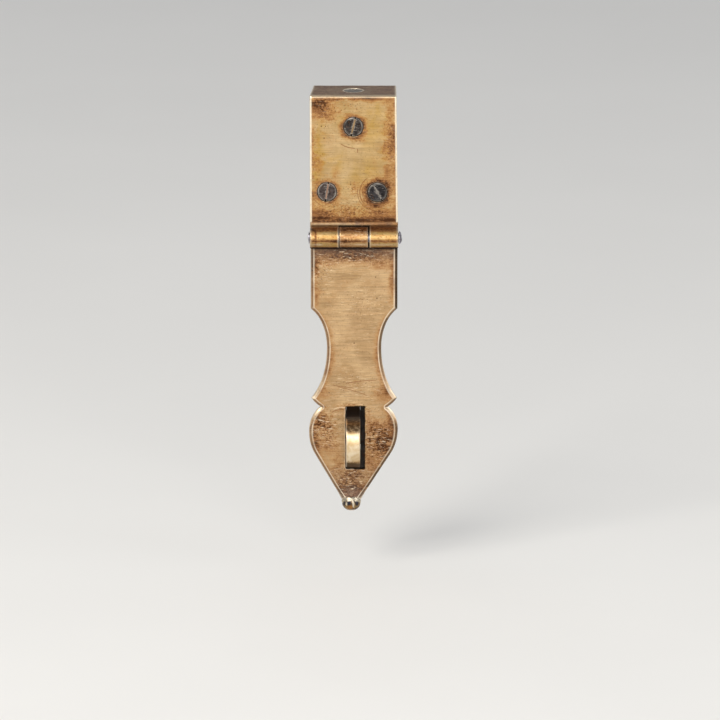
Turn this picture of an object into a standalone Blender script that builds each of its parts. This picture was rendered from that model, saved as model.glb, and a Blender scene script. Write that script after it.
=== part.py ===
"""Brass hasp and staple for a wooden chest: a lid plate folded over the lid's top edge, a slotted swinging
hasp on a three-knuckle hinge, and a flat-strip staple clenched through the front board.

Origin: on the lid plate's back face, midway up. +Y points into the wood, -Y at the person in front, +Z up.
Heights named Z_... are measured from the hinge pin's axis, which lies PIN_DROP below the origin.
"""

import math

import bmesh
import bpy
from mathutils import Matrix, Vector
from mathutils.geometry import interpolate_bezier

MM = 0.001

# Hinge: three rolled knuckles on one steel pin along X
PIN_DROP = 33.6 * MM
PIN_Y = -5.3 * MM
PIN_R = 2.45 * MM
BORE_R = 2.55 * MM
PIN_HEAD_R = 3.25 * MM
PIN_HEAD_RIGHT = 1.6 * MM
PIN_HEAD_LEFT = 0.6 * MM
PIN_HEAD_GAP = 0.25 * MM
KNUCKLE_GAP_LEFT = (-7.6 * MM, -7.15 * MM)
KNUCKLE_GAP_RIGHT = (6.85 * MM, 7.65 * MM)
SEAM_GAP = 0.3 * MM
ROLL_STEPS = 40
PIN_STEPS = 32
PIN_DOME_STEPS = 6

# Lid plate: a strip folded over the lid's top front edge, rolled round the pin below. Its end, and the
# strap's, are scooped out round the pin, so that each closes behind the other's knuckles.
LID_HALF_WIDTH = 21.6 * MM
LID_THICK = 2.75 * MM
Z_LID_TOP = 69.85 * MM
FLANGE_DEPTH = 26 * MM
FOLD_R = 0.9 * MM
FOLD_STEPS = 5
SCOOP_GAP = 0.25 * MM
SCOOP_STEPS = 64
PLATE_BEVEL = 0.35 * MM

# Hasp strap: its back stands just off the wood, its outline is cut to a waist and a heart
STRAP_THICK = 2.65 * MM
STRAP_BACK_Y = PIN_Y + BORE_R + STRAP_THICK
STRAP_HALF_WIDTH = 21.3 * MM
Z_STRAP_TOP = -1.5 * MM
Z_KNUCKLE_JOIN = -9.0 * MM
Z_SHOULDER = -36.3 * MM
SHOULDER_HALF_WIDTH = 20.6 * MM
Z_SHOULDER_END = -37.0 * MM
WAIST_HALF_WIDTH = 13.4 * MM
Z_WAIST = -55.9 * MM
FLARE_HALF_WIDTH = 21.1 * MM
Z_FLARE = -81.8 * MM
NOTCH_HALF_WIDTH = 16.5 * MM
Z_NOTCH = -86.2 * MM
HEART_HALF_WIDTH = 21.95 * MM
Z_HEART = -98.0 * MM
Z_HEART_SIDE = -110.4 * MM
HEART_SIDE_HALF_WIDTH = 18.6 * MM
CHAMFER_WIDE = 1.5 * MM
CHAMFER_DEEP = 1.1 * MM
MOST_MITRE = 1.4
HEART_LEAN = 0.03

# Free handles of the outline's curves, as (half width, height)
SHOULDER_HANDLES = ((16.2 * MM, -40.8 * MM), (WAIST_HALF_WIDTH, -47.9 * MM))
WAIST_HANDLES = ((WAIST_HALF_WIDTH, -67.4 * MM), (16.4 * MM, -75.8 * MM))
FLARE_HANDLES = ((19.6 * MM, -84.0 * MM), (18.3 * MM, -85.0 * MM))
NOTCH_HANDLES = ((19.6 * MM, -88.6 * MM), (HEART_HALF_WIDTH, -93.0 * MM))
HEART_HANDLES = ((HEART_HALF_WIDTH, -103.0 * MM), (20.7 * MM, -107.1 * MM))
HEART_SIDE_STEPS = 18

# Slot in the heart, filed for the staple
SLOT_X = (-4.3 * MM, 5.2 * MM)
SLOT_Z = (-117.8 * MM, -85.9 * MM)
SLOT_CUT_REACH = 11.0 * MM

# Turned-out tip and its knob
Z_TIP_BEND = -127.4 * MM
TIP_BEND_R = 9.0 * MM
TIP_BEND = math.radians(32)
TIP_NECK = 1.2 * MM
TIP_HALF_WIDTH = 4.5 * MM
TONGUE_HALF_WIDTH = 3.2 * MM
TONGUE_LONG = 2.0 * MM
TONGUE_STEP = 0.01 * MM
TONGUE_CHAMFER = 0.3 * MM
KNOB_R = 4.75 * MM
KNOB_EDGE = 0.35 * MM
KNOB_BACK_SHARE = 0.93
KNOB_DOME_SHARE = 0.96
KNOB_COLLAR = 1.5 * MM
KNOB_DOME = 3.9 * MM
KNOB_GAP = 0.25 * MM
KNOB_STEPS = 32
KNOB_DOME_STEPS = 10

# Staple: flat strip bent into a D, its two legs through the front board and turned over behind it
STAPLE_HALF_WIDTH = 3.45 * MM
STAPLE_X = -0.5 * MM
STAPLE_THICK = 2.75 * MM
Z_STAPLE = (-114.8 * MM, -91.65 * MM)
STAPLE_REACH = 19.0 * MM
STAPLE_ROUND = 11.0 * MM
STAPLE_SQUARENESS = 2.7
STAPLE_BEVEL = 0.55 * MM
STAPLE_LOOP_STEPS = 28
BOARD = 22.0 * MM
CLENCH_BEND_R = 2.1 * MM
CLENCH_BEND_STEPS = 6
CLENCH_TAIL = 9.0 * MM

# Clench plate on the inside of the front board
CLENCH_THICK = 1.5 * MM
CLENCH_HALF_WIDTH = 11.0 * MM
CLENCH_HALF_HEIGHT = 25.0 * MM
CLENCH_CORNER = 2.5 * MM
CLENCH_CORNER_STEPS = 4
LEG_CLEARANCE = 0.5 * MM
REST_GAP = 0.3 * MM

# Screws: slotted countersunk wood screws, No. 10; 3/4 inch through the face, 1/2 inch through the flange
SCREW_HEAD_R = 4.6 * MM
SCREW_SHANK_R = 2.4 * MM
SCREW_CORE_R = 1.7 * MM
FACE_SCREW_LONG = 19.0 * MM
FLANGE_SCREW_LONG = 12.7 * MM
SCREW_PLAIN_SHARE = 0.33
SCREW_PITCH = 1.95 * MM
SCREW_POINT = 4.0 * MM
SCREW_RIM = 0.25 * MM
SCREW_SUNK = 0.08 * MM
SCREW_CLEARANCE = 0.25 * MM
SCREW_SLOT_WIDE = 1.2 * MM
SCREW_SLOT_DEEP = 1.0 * MM
SCREW_STEPS = 24
# One turn of the thread: (on its crest, share of the pitch below the turn's start)
THREAD = ((False, 0.25), (False, 0.6), (True, 0.9), (True, 1.0))
FACE_SCREWS = {
    "lid_screw_top": (-0.35 * MM, 54.6 * MM, 14),
    "lid_screw_left": (-13.2 * MM, 22.35 * MM, 9),
    "lid_screw_right": (11.4 * MM, 22.1 * MM, -29),
}
FLANGE_SCREW_X = -0.35 * MM
FLANGE_SCREW_Y = 12.2 * MM
FLANGE_SCREW_TURN = 62

# Colour and roughness of each metal
METALS = {
    "aged_brass": ((0.56, 0.37, 0.18), 0.38),
    "strap_brass": ((0.56, 0.37, 0.18), 0.42),
    "knob_brass": ((0.50, 0.36, 0.20), 0.22),
    "staple_brass": ((0.70, 0.58, 0.36), 0.3),
    "screw_steel": ((0.12, 0.11, 0.10), 0.45),
    "pin_steel": ((0.45, 0.43, 0.42), 0.35),
    "clench_iron": ((0.05, 0.045, 0.04), 0.6),
}


def clear_scene():
    for obj in list(bpy.data.objects):
        bpy.data.objects.remove(obj, do_unlink=True)


def make_collection(name):
    collection = bpy.data.collections.new(name)
    bpy.context.scene.collection.children.link(collection)
    return collection


def make_material(name):
    colour, roughness = METALS[name]
    material = bpy.data.materials.new(name)
    material.use_nodes = True
    shader = material.node_tree.nodes["Principled BSDF"]
    shader.inputs["Base Color"].default_value = (*colour, 1)
    shader.inputs["Metallic"].default_value = 1
    shader.inputs["Roughness"].default_value = roughness
    return material


def above_pin(z):
    """World height of a height measured from the pin's axis."""
    return z - PIN_DROP


def object_from_mesh(name, mesh, collection, origin=Vector((0, 0, 0))):
    """An object whose mesh is given in world coordinates and whose origin is put at `origin`."""
    mesh.transform(Matrix.Translation(-origin))
    obj = bpy.data.objects.new(name, mesh)
    obj.location = origin
    collection.objects.link(obj)
    return obj


def object_from_bmesh(name, bm, collection, origin=Vector((0, 0, 0))):
    bmesh.ops.recalc_face_normals(bm, faces=bm.faces)
    mesh = bpy.data.meshes.new(name)
    bm.to_mesh(mesh)
    bm.free()
    return object_from_mesh(name, mesh, collection, origin)


def side_prism(name, outline, x_low, x_high, collection, origin=Vector((0, 0, 0))):
    """A closed outline of (y, z) points, filled as a 2D curve and extruded along X."""
    curve = bpy.data.curves.new(name, "CURVE")
    curve.dimensions = "2D"
    curve.fill_mode = "BOTH"
    curve.extrude = (x_high - x_low) / 2
    spline = curve.splines.new("POLY")
    spline.points.add(len(outline) - 1)
    for point, (y, z) in zip(spline.points, outline):
        point.co = (y, z, 0, 1)
    spline.use_cyclic_u = True
    flat = bpy.data.objects.new(name + "_outline", curve)
    # The curve's own X, Y and Z lie along world Y, Z and X.
    flat.matrix_world = Matrix(
        ((0, 0, 1, (x_low + x_high) / 2), (1, 0, 0, 0), (0, 1, 0, 0), (0, 0, 0, 1))
    )
    collection.objects.link(flat)
    bpy.context.view_layer.update()
    graph = bpy.context.evaluated_depsgraph_get()
    mesh = bpy.data.meshes.new_from_object(flat.evaluated_get(graph))
    mesh.transform(flat.matrix_world)
    bpy.data.objects.remove(flat)
    bm = bmesh.new()
    bm.from_mesh(mesh)
    bmesh.ops.remove_doubles(bm, verts=bm.verts, dist=0.001 * MM)
    bpy.data.meshes.remove(mesh)
    return object_from_bmesh(name, bm, collection, origin)


def box(name, low, high, collection):
    bm = bmesh.new()
    bmesh.ops.create_cube(bm, size=1)
    size = Vector(high) - Vector(low)
    bmesh.ops.scale(bm, vec=size, verts=bm.verts)
    bmesh.ops.translate(bm, vec=(Vector(low) + Vector(high)) / 2, verts=bm.verts)
    return object_from_bmesh(name, bm, collection)


def turned(name, profile, steps, collection):
    """A profile of (radius, height) points, top to bottom, turned about the object's own Z."""
    mesh = bpy.data.meshes.new(name)
    verts = [(radius, 0, height) for radius, height in profile]
    mesh.from_pydata(verts, [(i, i + 1) for i in range(len(verts) - 1)], [])
    obj = bpy.data.objects.new(name, mesh)
    collection.objects.link(obj)
    screw = obj.modifiers.new("turn", "SCREW")
    screw.axis = "Z"
    screw.steps = steps
    screw.render_steps = steps
    screw.use_merge_vertices = True
    screw.merge_threshold = 0.001 * MM
    screw.use_smooth_shade = True
    return obj


def boolean(obj, other, operation="DIFFERENCE"):
    modifier = obj.modifiers.new(other.name, "BOOLEAN")
    modifier.operation = operation
    modifier.object = other
    other.hide_render = True
    other.display_type = "WIRE"


def bevel(obj, width, angle=50):
    modifier = obj.modifiers.new("bevel", "BEVEL")
    modifier.width = width
    modifier.segments = 1
    modifier.limit_method = "ANGLE"
    modifier.angle_limit = math.radians(angle)


def finish(obj, material, sharp=35):
    obj.data.materials.clear()
    obj.data.materials.append(material)
    if obj.data.polygons:
        obj.data.shade_smooth()
        obj.data.set_sharp_from_angle(angle=math.radians(sharp))


def arc(centre, radius, start, end, steps):
    """(y, z) points of an arc; angles in radians from +Y towards +Z."""
    turns = [start + (end - start) * i / steps for i in range(steps + 1)]
    return [(centre[0] + radius * math.cos(t), centre[1] + radius * math.sin(t)) for t in turns]


def rolled_knuckle(front_y, outer_r, down):
    """The (y, z) outline of a roll round the pin: from its back, under or over the pin, to a seam at front_y.

    The outline starts behind the pin, at its outer radius, and ends there at the bore.
    """
    seam_y = front_y - SEAM_GAP - PIN_Y
    outer_end = 2 * math.pi - math.acos(seam_y / outer_r)
    inner_end = 2 * math.pi - math.acos(seam_y / BORE_R)
    sign = -1 if down else 1
    centre = (PIN_Y, above_pin(0))
    outer = arc(centre, outer_r, 0, sign * outer_end, ROLL_STEPS)
    return outer + arc(centre, BORE_R, sign * inner_end, 0, ROLL_STEPS)


def pin_cylinder(name, radius, ends, cutters):
    """A cutter round the pin's axis, from one X to another."""
    bm = bmesh.new()
    bmesh.ops.create_cone(
        bm, cap_ends=True, segments=SCOOP_STEPS, radius1=radius, radius2=radius, depth=ends[1] - ends[0]
    )
    bmesh.ops.rotate(bm, matrix=Matrix.Rotation(math.radians(90), 3, "Y"), verts=bm.verts)
    centre = ((ends[0] + ends[1]) / 2, PIN_Y, above_pin(0))
    bmesh.ops.translate(bm, vec=centre, verts=bm.verts)
    return object_from_bmesh(name, bm, cutters)


def make_lid_plate(parts, cutters, material):
    back_y = 0.0
    front_y = -LID_THICK
    top = above_pin(Z_LID_TOP)
    outline = rolled_knuckle(front_y, -PIN_Y, down=True)
    outline += arc((front_y + FOLD_R, top - FOLD_R), FOLD_R, math.pi, math.pi / 2, FOLD_STEPS)
    outline += [(FLANGE_DEPTH, top), (FLANGE_DEPTH, top - LID_THICK), (back_y, top - LID_THICK)]
    plate = side_prism("lid_plate", outline, -LID_HALF_WIDTH, LID_HALF_WIDTH, parts)
    scoop_r = STRAP_BACK_Y - PIN_Y + SCOOP_GAP
    ends = (KNUCKLE_GAP_LEFT[0], KNUCKLE_GAP_RIGHT[1])
    boolean(plate, pin_cylinder("cut_knuckle_notch", scoop_r, ends, cutters))
    for name, (x, z, _) in FACE_SCREWS.items():
        sink = make_countersink("cut_" + name, cutters)
        sink.matrix_world = screw_frame((x, front_y, above_pin(z)), (0, -1, 0), 0)
        boolean(plate, sink)
    sink = make_countersink("cut_flange_screw", cutters)
    sink.matrix_world = screw_frame((FLANGE_SCREW_X, FLANGE_SCREW_Y, top), (0, 0, 1), 0)
    boolean(plate, sink)
    bevel(plate, PLATE_BEVEL, 70)
    finish(plate, material)


def screw_frame(point, out, turn):
    """World matrix of a screw whose head's flat centre is at `point`, facing `out`, slot turned by degrees."""
    outward = Vector(out)
    up = Vector((0, 0, 1)) if abs(outward.z) < 0.5 else Vector((0, 1, 0))
    across = up.cross(outward)
    basis = Matrix((across, up, outward)).transposed().to_4x4()
    return Matrix.Translation(point) @ basis @ Matrix.Rotation(math.radians(-turn), 4, "Z")


def make_countersink(name, cutters):
    """The hole for one screw, clear of it all round, its mouth at the object's own origin."""
    mouth_r = SCREW_HEAD_R + SCREW_CLEARANCE
    hole_r = SCREW_SHANK_R + SCREW_CLEARANCE
    over = 1 * MM
    rim_end = -SCREW_RIM - SCREW_SUNK
    cone_end = rim_end - (mouth_r - hole_r)
    below = -2 * LID_THICK
    profile = [(0, over), (mouth_r, over), (mouth_r, rim_end), (hole_r, cone_end), (hole_r, below)]
    return turned(name, profile + [(0, below)], SCREW_STEPS, cutters)


def make_screw(name, point, out, turn, long, parts, cutters, material):
    """One wood screw: flat head with a driver slot, plain shank, ridged thread, point."""
    head_end = -(SCREW_RIM + SCREW_HEAD_R - SCREW_SHANK_R)
    profile = [(0, 0), (SCREW_HEAD_R, 0), (SCREW_HEAD_R, -SCREW_RIM), (SCREW_SHANK_R, head_end)]
    height = -SCREW_PLAIN_SHARE * long
    profile += [(SCREW_SHANK_R, height)]
    while height > -long + SCREW_PITCH:
        size = min(1, (long + height) / SCREW_POINT)
        for on_crest, down in THREAD:
            radius = SCREW_SHANK_R if on_crest else SCREW_CORE_R
            profile.append((radius * size, height - down * SCREW_PITCH))
        height -= SCREW_PITCH
    profile += [(0, -long)]
    screw = turned(name, profile, SCREW_STEPS, parts)
    sunk = Vector(point) - SCREW_SUNK * Vector(out)
    frame = screw_frame(sunk, out, turn)
    screw.matrix_world = frame
    reach = 2 * SCREW_HEAD_R
    half = SCREW_SLOT_WIDE / 2
    slot = box("cut_slot_" + name, (-half, -reach, -SCREW_SLOT_DEEP), (half, reach, SCREW_RIM * 4), cutters)
    slot.matrix_world = frame
    boolean(screw, slot)
    finish(screw, material)


def make_pin(parts, material):
    """A plain rod with a peened dome at each end, turned about Z and laid along X."""
    half = LID_HALF_WIDTH + PIN_HEAD_GAP
    turns = [math.pi / 2 * i / PIN_DOME_STEPS for i in range(PIN_DOME_STEPS + 1)]
    right = [(PIN_HEAD_R * math.sin(t), half + PIN_HEAD_RIGHT * math.cos(t)) for t in turns]
    left = [(PIN_HEAD_R * math.cos(t), -half - PIN_HEAD_LEFT * math.sin(t)) for t in turns]
    pin = turned("hinge_pin", right + [(PIN_R, half), (PIN_R, -half)] + left, PIN_STEPS, parts)
    pin.rotation_euler = (0, math.radians(90), 0)
    pin.location = (0, PIN_Y, above_pin(0))
    finish(pin, material)


def bezier(start, start_handle, end_handle, end, steps):
    """Points after `start` along one cubic; all are (half width, height) pairs."""
    ends = [Vector((x, z, 0)) for x, z in (start, start_handle, end_handle, end)]
    return [(p.x, p.y) for p in interpolate_bezier(*ends, steps + 1)[1:]]


def tip_end():
    """Height, along the flat strap, at which its turned-out tip ends."""
    return Z_TIP_BEND - TIP_BEND_R * TIP_BEND - TIP_NECK


def strap_outline():
    """(half width, height) down one side of the hasp, from the hinge to the start of its tip."""
    shoulder = (SHOULDER_HALF_WIDTH, Z_SHOULDER_END)
    waist = (WAIST_HALF_WIDTH, Z_WAIST)
    flare = (FLARE_HALF_WIDTH, Z_FLARE)
    notch = (NOTCH_HALF_WIDTH, Z_NOTCH)
    heart = (HEART_HALF_WIDTH, Z_HEART)
    side = (HEART_SIDE_HALF_WIDTH, Z_HEART_SIDE)
    points = [(STRAP_HALF_WIDTH, Z_STRAP_TOP), (STRAP_HALF_WIDTH, Z_SHOULDER), shoulder]
    points += bezier(shoulder, *SHOULDER_HANDLES, waist, 9)
    points += bezier(waist, *WAIST_HANDLES, flare, 10)
    points += bezier(flare, *FLARE_HANDLES, notch, 4)
    points += bezier(notch, *NOTCH_HANDLES, heart, 8)
    points += bezier(heart, *HEART_HANDLES, side, 8)
    last = tip_end()
    slope = (TIP_HALF_WIDTH - side[0]) / (last - side[1])
    for i in range(1, HEART_SIDE_STEPS + 1):
        z = side[1] + (last - side[1]) * i / HEART_SIDE_STEPS
        points.append((side[0] + slope * (z - side[1]), z))
    return points


def inset_outline(points, inset):
    """The outline moved inwards by `inset`, mitred at its corners."""
    moved = []
    for i, (x, z) in enumerate(points):
        before = Vector(points[max(i - 1, 0)])
        after = Vector(points[min(i + 1, len(points) - 1)])
        here = Vector((x, z))
        first = (here - before) if i else (after - here)
        second = (after - here) if i + 1 < len(points) else first
        normals = [Vector((-d.y, d.x)).normalized() for d in (first, second)]
        mean = (normals[0] + normals[1]).normalized()
        stretch = min(MOST_MITRE, 1 / mean.dot(normals[0]))
        moved.append((x - mean.x * inset * stretch, z - mean.y * inset * stretch))
    return moved


def tip_path(point):
    """Bends a point of the flat strap forwards below Z_TIP_BEND; points above stay."""
    x, y, z = point
    beyond = Z_TIP_BEND - z
    if beyond <= 0:
        return Vector(point)
    mid_y = STRAP_BACK_Y - STRAP_THICK / 2
    turn = min(beyond / TIP_BEND_R, TIP_BEND)
    straight = max(0.0, beyond - TIP_BEND_R * TIP_BEND)
    radius = TIP_BEND_R + y - mid_y
    bent_y = mid_y - TIP_BEND_R + radius * math.cos(turn) - straight * math.sin(turn)
    bent_z = Z_TIP_BEND - radius * math.sin(turn) - straight * math.cos(turn)
    return Vector((x, bent_y, bent_z))


def make_strap(parts, cutters, material):
    """The flat strap lofted row by row, joined to its rolled knuckle and slotted for the staple."""
    outer = strap_outline()
    inner = inset_outline(outer, CHAMFER_WIDE)
    inner[0] = (inner[0][0], outer[0][1])
    last = outer[-1][1]
    inner[-1] = (inner[-1][0], last)
    tongue = [(TONGUE_HALF_WIDTH, last - TONGUE_STEP), (TONGUE_HALF_WIDTH, last - TONGUE_LONG)]
    outer += tongue
    inner += [(TONGUE_HALF_WIDTH - TONGUE_CHAMFER, z) for _, z in tongue]
    front = STRAP_BACK_Y - STRAP_THICK
    edge_y = front + CHAMFER_DEEP
    bm = bmesh.new()
    rows = []
    for (wide, z), (narrow, inner_z) in zip(outer, inner):
        ring = [(-wide, STRAP_BACK_Y, z), (-wide, edge_y, z), (-narrow, front, inner_z)]
        ring += [(narrow, front, inner_z), (wide, edge_y, z), (wide, STRAP_BACK_Y, z)]
        rows.append([bm.verts.new(lean(tip_path(p))) for p in ring])
    for upper, lower in zip(rows, rows[1:]):
        for i in range(6):
            j = (i + 1) % 6
            bm.faces.new((upper[i], upper[j], lower[j], lower[i]))
    bm.faces.new(rows[0])
    bm.faces.new(rows[-1])
    pin = Vector((0, PIN_Y, above_pin(0)))
    bmesh.ops.translate(bm, vec=(0, 0, -PIN_DROP), verts=bm.verts)
    strap = object_from_bmesh("hasp_strap", bm, parts, pin)

    ends = (-2 * STRAP_HALF_WIDTH, 2 * STRAP_HALF_WIDTH)
    boolean(strap, pin_cylinder("cut_strap_scoop", SCOOP_GAP - PIN_Y, ends, cutters))
    roll = rolled_knuckle(front, STRAP_BACK_Y - PIN_Y, down=False)
    join = above_pin(Z_KNUCKLE_JOIN)
    roll += [(front, join), (STRAP_BACK_Y, join)]
    knuckle = side_prism(
        "join_centre_knuckle", roll, KNUCKLE_GAP_LEFT[1], KNUCKLE_GAP_RIGHT[0], cutters, pin
    )
    boolean(strap, knuckle, "UNION")
    slot = box(
        "cut_staple_slot",
        (SLOT_X[0], -SLOT_CUT_REACH, above_pin(SLOT_Z[0])),
        (SLOT_X[1], SLOT_CUT_REACH, above_pin(SLOT_Z[1])),
        cutters,
    )
    boolean(strap, slot)
    finish(strap, material)
    return strap


def lean(point):
    """The heart was cut a little out of line: it leans to -X below the notch."""
    below = max(0.0, Z_NOTCH - point.z)
    return Vector((point.x - HEART_LEAN * below, point.y, point.z))


def make_knob(parts, cutters, material):
    """A domed knob on the turned-out tip; a pocket in its back holds the strap's tongue."""
    mid = STRAP_BACK_Y - STRAP_THICK / 2
    seat = lean(tip_path((0, mid, tip_end() - KNOB_GAP)))
    profile = [(0, 0), (KNOB_R * KNOB_BACK_SHARE, 0), (KNOB_R, -KNOB_EDGE), (KNOB_R, -KNOB_COLLAR)]
    dome_r = KNOB_R * KNOB_DOME_SHARE
    for i in range(KNOB_DOME_STEPS + 1):
        turn = math.pi / 2 * i / KNOB_DOME_STEPS
        profile.append((dome_r * math.cos(turn), -KNOB_COLLAR - KNOB_DOME * math.sin(turn)))
    profile[-1] = (0, profile[-1][1])
    knob = turned("tip_knob", profile, KNOB_STEPS, parts)
    frame = Matrix.Translation((seat.x, seat.y, above_pin(seat.z)))
    frame = frame @ Matrix.Rotation(-TIP_BEND, 4, "X")
    knob.matrix_world = frame
    wide = TONGUE_HALF_WIDTH + KNOB_GAP
    thick = STRAP_THICK / 2 + KNOB_GAP
    pocket = box(
        "cut_knob_pocket", (-wide, -thick, -TONGUE_LONG - KNOB_GAP), (wide, thick, 1 * MM), cutters
    )
    pocket.matrix_world = frame
    boolean(knob, pocket)
    finish(knob, material)
    return knob


def staple_centreline():
    """(y, z) points along the strip's middle, from the upper clenched end to the lower one."""
    half = STAPLE_THICK / 2
    low = Z_STAPLE[0] + half
    high = Z_STAPLE[1] - half
    middle = (low + high) / 2
    rise = (high - low) / 2
    tail_y = BOARD + CLENCH_THICK + 2 * REST_GAP + half
    bend_y = tail_y - CLENCH_BEND_R
    upper = [(tail_y, high + CLENCH_BEND_R + CLENCH_TAIL)]
    upper += arc((bend_y, high + CLENCH_BEND_R), CLENCH_BEND_R, 0, -math.pi / 2, CLENCH_BEND_STEPS)
    reach = STAPLE_ROUND - half
    start_y = -(STAPLE_REACH - STAPLE_ROUND)
    power = 2 / STAPLE_SQUARENESS
    loop = []
    for i in range(STAPLE_LOOP_STEPS + 1):
        turn = math.pi / 2 - math.pi * i / STAPLE_LOOP_STEPS
        across = max(0.0, math.cos(turn)) ** power
        along = math.copysign(abs(math.sin(turn)) ** power, math.sin(turn))
        loop.append((start_y - reach * across, middle + rise * along))
    lower = [(y, 2 * middle - z) for y, z in reversed(upper)]
    return upper + loop + lower


def make_staple(parts, material):
    path = [Vector(p) for p in staple_centreline()]
    half = STAPLE_THICK / 2
    sides = ([], [])
    for i, here in enumerate(path):
        before = path[max(i - 1, 0)]
        after = path[min(i + 1, len(path) - 1)]
        first = (here - before).normalized() if i else (after - here).normalized()
        second = (after - here).normalized() if i + 1 < len(path) else first
        along = (first + second).normalized()
        across = Vector((-along.y, along.x)) * half / max(0.5, along.dot(first))
        sides[0].append(here + across)
        sides[1].append(here - across)
    outline = [(p.x, above_pin(p.y)) for p in sides[0] + sides[1][::-1]]
    staple = side_prism(
        "staple", outline, STAPLE_X - STAPLE_HALF_WIDTH, STAPLE_X + STAPLE_HALF_WIDTH, parts
    )
    bevel(staple, STAPLE_BEVEL)
    finish(staple, material, 50)


def make_clench_plate(parts, cutters, material):
    low_y = BOARD + REST_GAP
    middle = above_pin(sum(Z_STAPLE) / 2)
    low = (-CLENCH_HALF_WIDTH, low_y, middle - CLENCH_HALF_HEIGHT)
    high = (CLENCH_HALF_WIDTH, low_y + CLENCH_THICK, middle + CLENCH_HALF_HEIGHT)
    plate = box("clench_plate", low, high, parts)
    round_corners(plate)
    for side, z in enumerate(Z_STAPLE):
        inward = STAPLE_THICK + REST_GAP
        outward = LEG_CLEARANCE
        spread = (-outward, inward) if side == 0 else (-inward, outward)
        hole = box(
            f"cut_leg_hole_{side}",
            (STAPLE_X - STAPLE_HALF_WIDTH - REST_GAP, 0, above_pin(z) + spread[0]),
            (STAPLE_X + STAPLE_HALF_WIDTH + REST_GAP, 2 * BOARD, above_pin(z) + spread[1]),
            cutters,
        )
        boolean(plate, hole)
    finish(plate, material)


def round_corners(plate):
    """Rounds the four edges of a plate that run through it, along Y."""
    bm = bmesh.new()
    bm.from_mesh(plate.data)
    through = [
        e for e in bm.edges if abs((e.verts[0].co - e.verts[1].co).normalized().y) > 0.9
    ]
    bmesh.ops.bevel(
        bm,
        geom=through,
        offset=CLENCH_CORNER,
        segments=CLENCH_CORNER_STEPS,
        profile=0.5,
        affect="EDGES",
    )
    bm.to_mesh(plate.data)
    bm.free()


def main():
    clear_scene()
    parts = make_collection("hasp_and_staple")
    cutters = make_collection("cutters")
    metals = {name: make_material(name) for name in METALS}
    steel = metals["screw_steel"]

    make_lid_plate(parts, cutters, metals["aged_brass"])
    make_pin(parts, metals["pin_steel"])
    for name, (x, z, turn) in FACE_SCREWS.items():
        head = (x, -LID_THICK, above_pin(z))
        make_screw(name, head, (0, -1, 0), turn, FACE_SCREW_LONG, parts, cutters, steel)
    head = (FLANGE_SCREW_X, FLANGE_SCREW_Y, above_pin(Z_LID_TOP))
    turn = FLANGE_SCREW_TURN
    make_screw("flange_screw", head, (0, 0, 1), turn, FLANGE_SCREW_LONG, parts, cutters, steel)

    strap = make_strap(parts, cutters, metals["strap_brass"])
    knob = make_knob(parts, cutters, metals["knob_brass"])
    bpy.context.view_layer.update()
    placed = knob.matrix_world.copy()
    knob.parent = strap
    knob.matrix_parent_inverse = strap.matrix_world.inverted()
    knob.matrix_world = placed

    make_staple(parts, metals["staple_brass"])
    make_clench_plate(parts, cutters, metals["clench_iron"])


main()
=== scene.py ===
"""Visual model of a brass hasp and staple: finely meshed, worn and patinated stand-ins for every CAD node.

Heights named Z_... or written "above the pin" are in metres from the hinge pin's axis; PIN_DROP brings
them to the frame's own zero. Each mesh is made at rest, in the frame's coordinates. Stains, pits and
scratches are placed in millimetres, with heights from a mark MARKS_DROP below that zero.
"""

from contextlib import contextmanager
from math import acos, atan2, copysign, cos, degrees, exp, hypot, pi, radians, sin, sqrt

import bmesh
import bpy
import numpy as np
from mathutils import Matrix, Vector, noise
from mathutils.geometry import interpolate_bezier, tessellate_polygon


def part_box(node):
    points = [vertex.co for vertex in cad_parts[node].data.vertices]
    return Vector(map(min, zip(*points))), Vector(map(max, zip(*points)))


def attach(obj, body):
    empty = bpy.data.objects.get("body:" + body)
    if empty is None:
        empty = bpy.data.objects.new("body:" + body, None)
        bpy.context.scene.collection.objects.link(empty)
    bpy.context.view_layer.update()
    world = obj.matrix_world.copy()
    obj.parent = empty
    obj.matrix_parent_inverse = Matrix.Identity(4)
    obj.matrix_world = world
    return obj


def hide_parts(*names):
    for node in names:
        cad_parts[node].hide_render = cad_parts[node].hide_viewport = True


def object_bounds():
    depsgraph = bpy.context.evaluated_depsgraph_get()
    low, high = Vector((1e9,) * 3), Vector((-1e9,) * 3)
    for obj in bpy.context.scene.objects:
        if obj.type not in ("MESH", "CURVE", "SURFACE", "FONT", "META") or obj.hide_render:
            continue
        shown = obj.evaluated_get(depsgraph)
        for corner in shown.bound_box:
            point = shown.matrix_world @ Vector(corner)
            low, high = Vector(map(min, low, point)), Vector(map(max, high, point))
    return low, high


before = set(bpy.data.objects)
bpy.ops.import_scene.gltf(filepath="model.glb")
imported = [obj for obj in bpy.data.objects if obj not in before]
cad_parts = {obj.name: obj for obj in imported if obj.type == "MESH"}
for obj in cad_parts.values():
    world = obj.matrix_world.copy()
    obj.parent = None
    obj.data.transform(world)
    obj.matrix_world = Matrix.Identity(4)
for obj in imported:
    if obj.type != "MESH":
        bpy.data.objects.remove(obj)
cad_low, cad_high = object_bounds()

MM = 0.001
PIN_DROP = 33.6 * MM
MARKS_DROP = 35 * MM

# Hinge
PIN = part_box("hinge_pin")
PIN_Y = (PIN[0].y + PIN[1].y) / 2
PIN_R = 2.45 * MM
BORE_R = 2.55 * MM
ROLL_R = 5.3 * MM
ROLL_STEPS = 72
KNUCKLE_GAP_LEFT = (-7.6 * MM, -7.15 * MM)
KNUCKLE_GAP_RIGHT = (6.85 * MM, 7.65 * MM)
SEAM_GAP = 0.3 * MM

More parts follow.
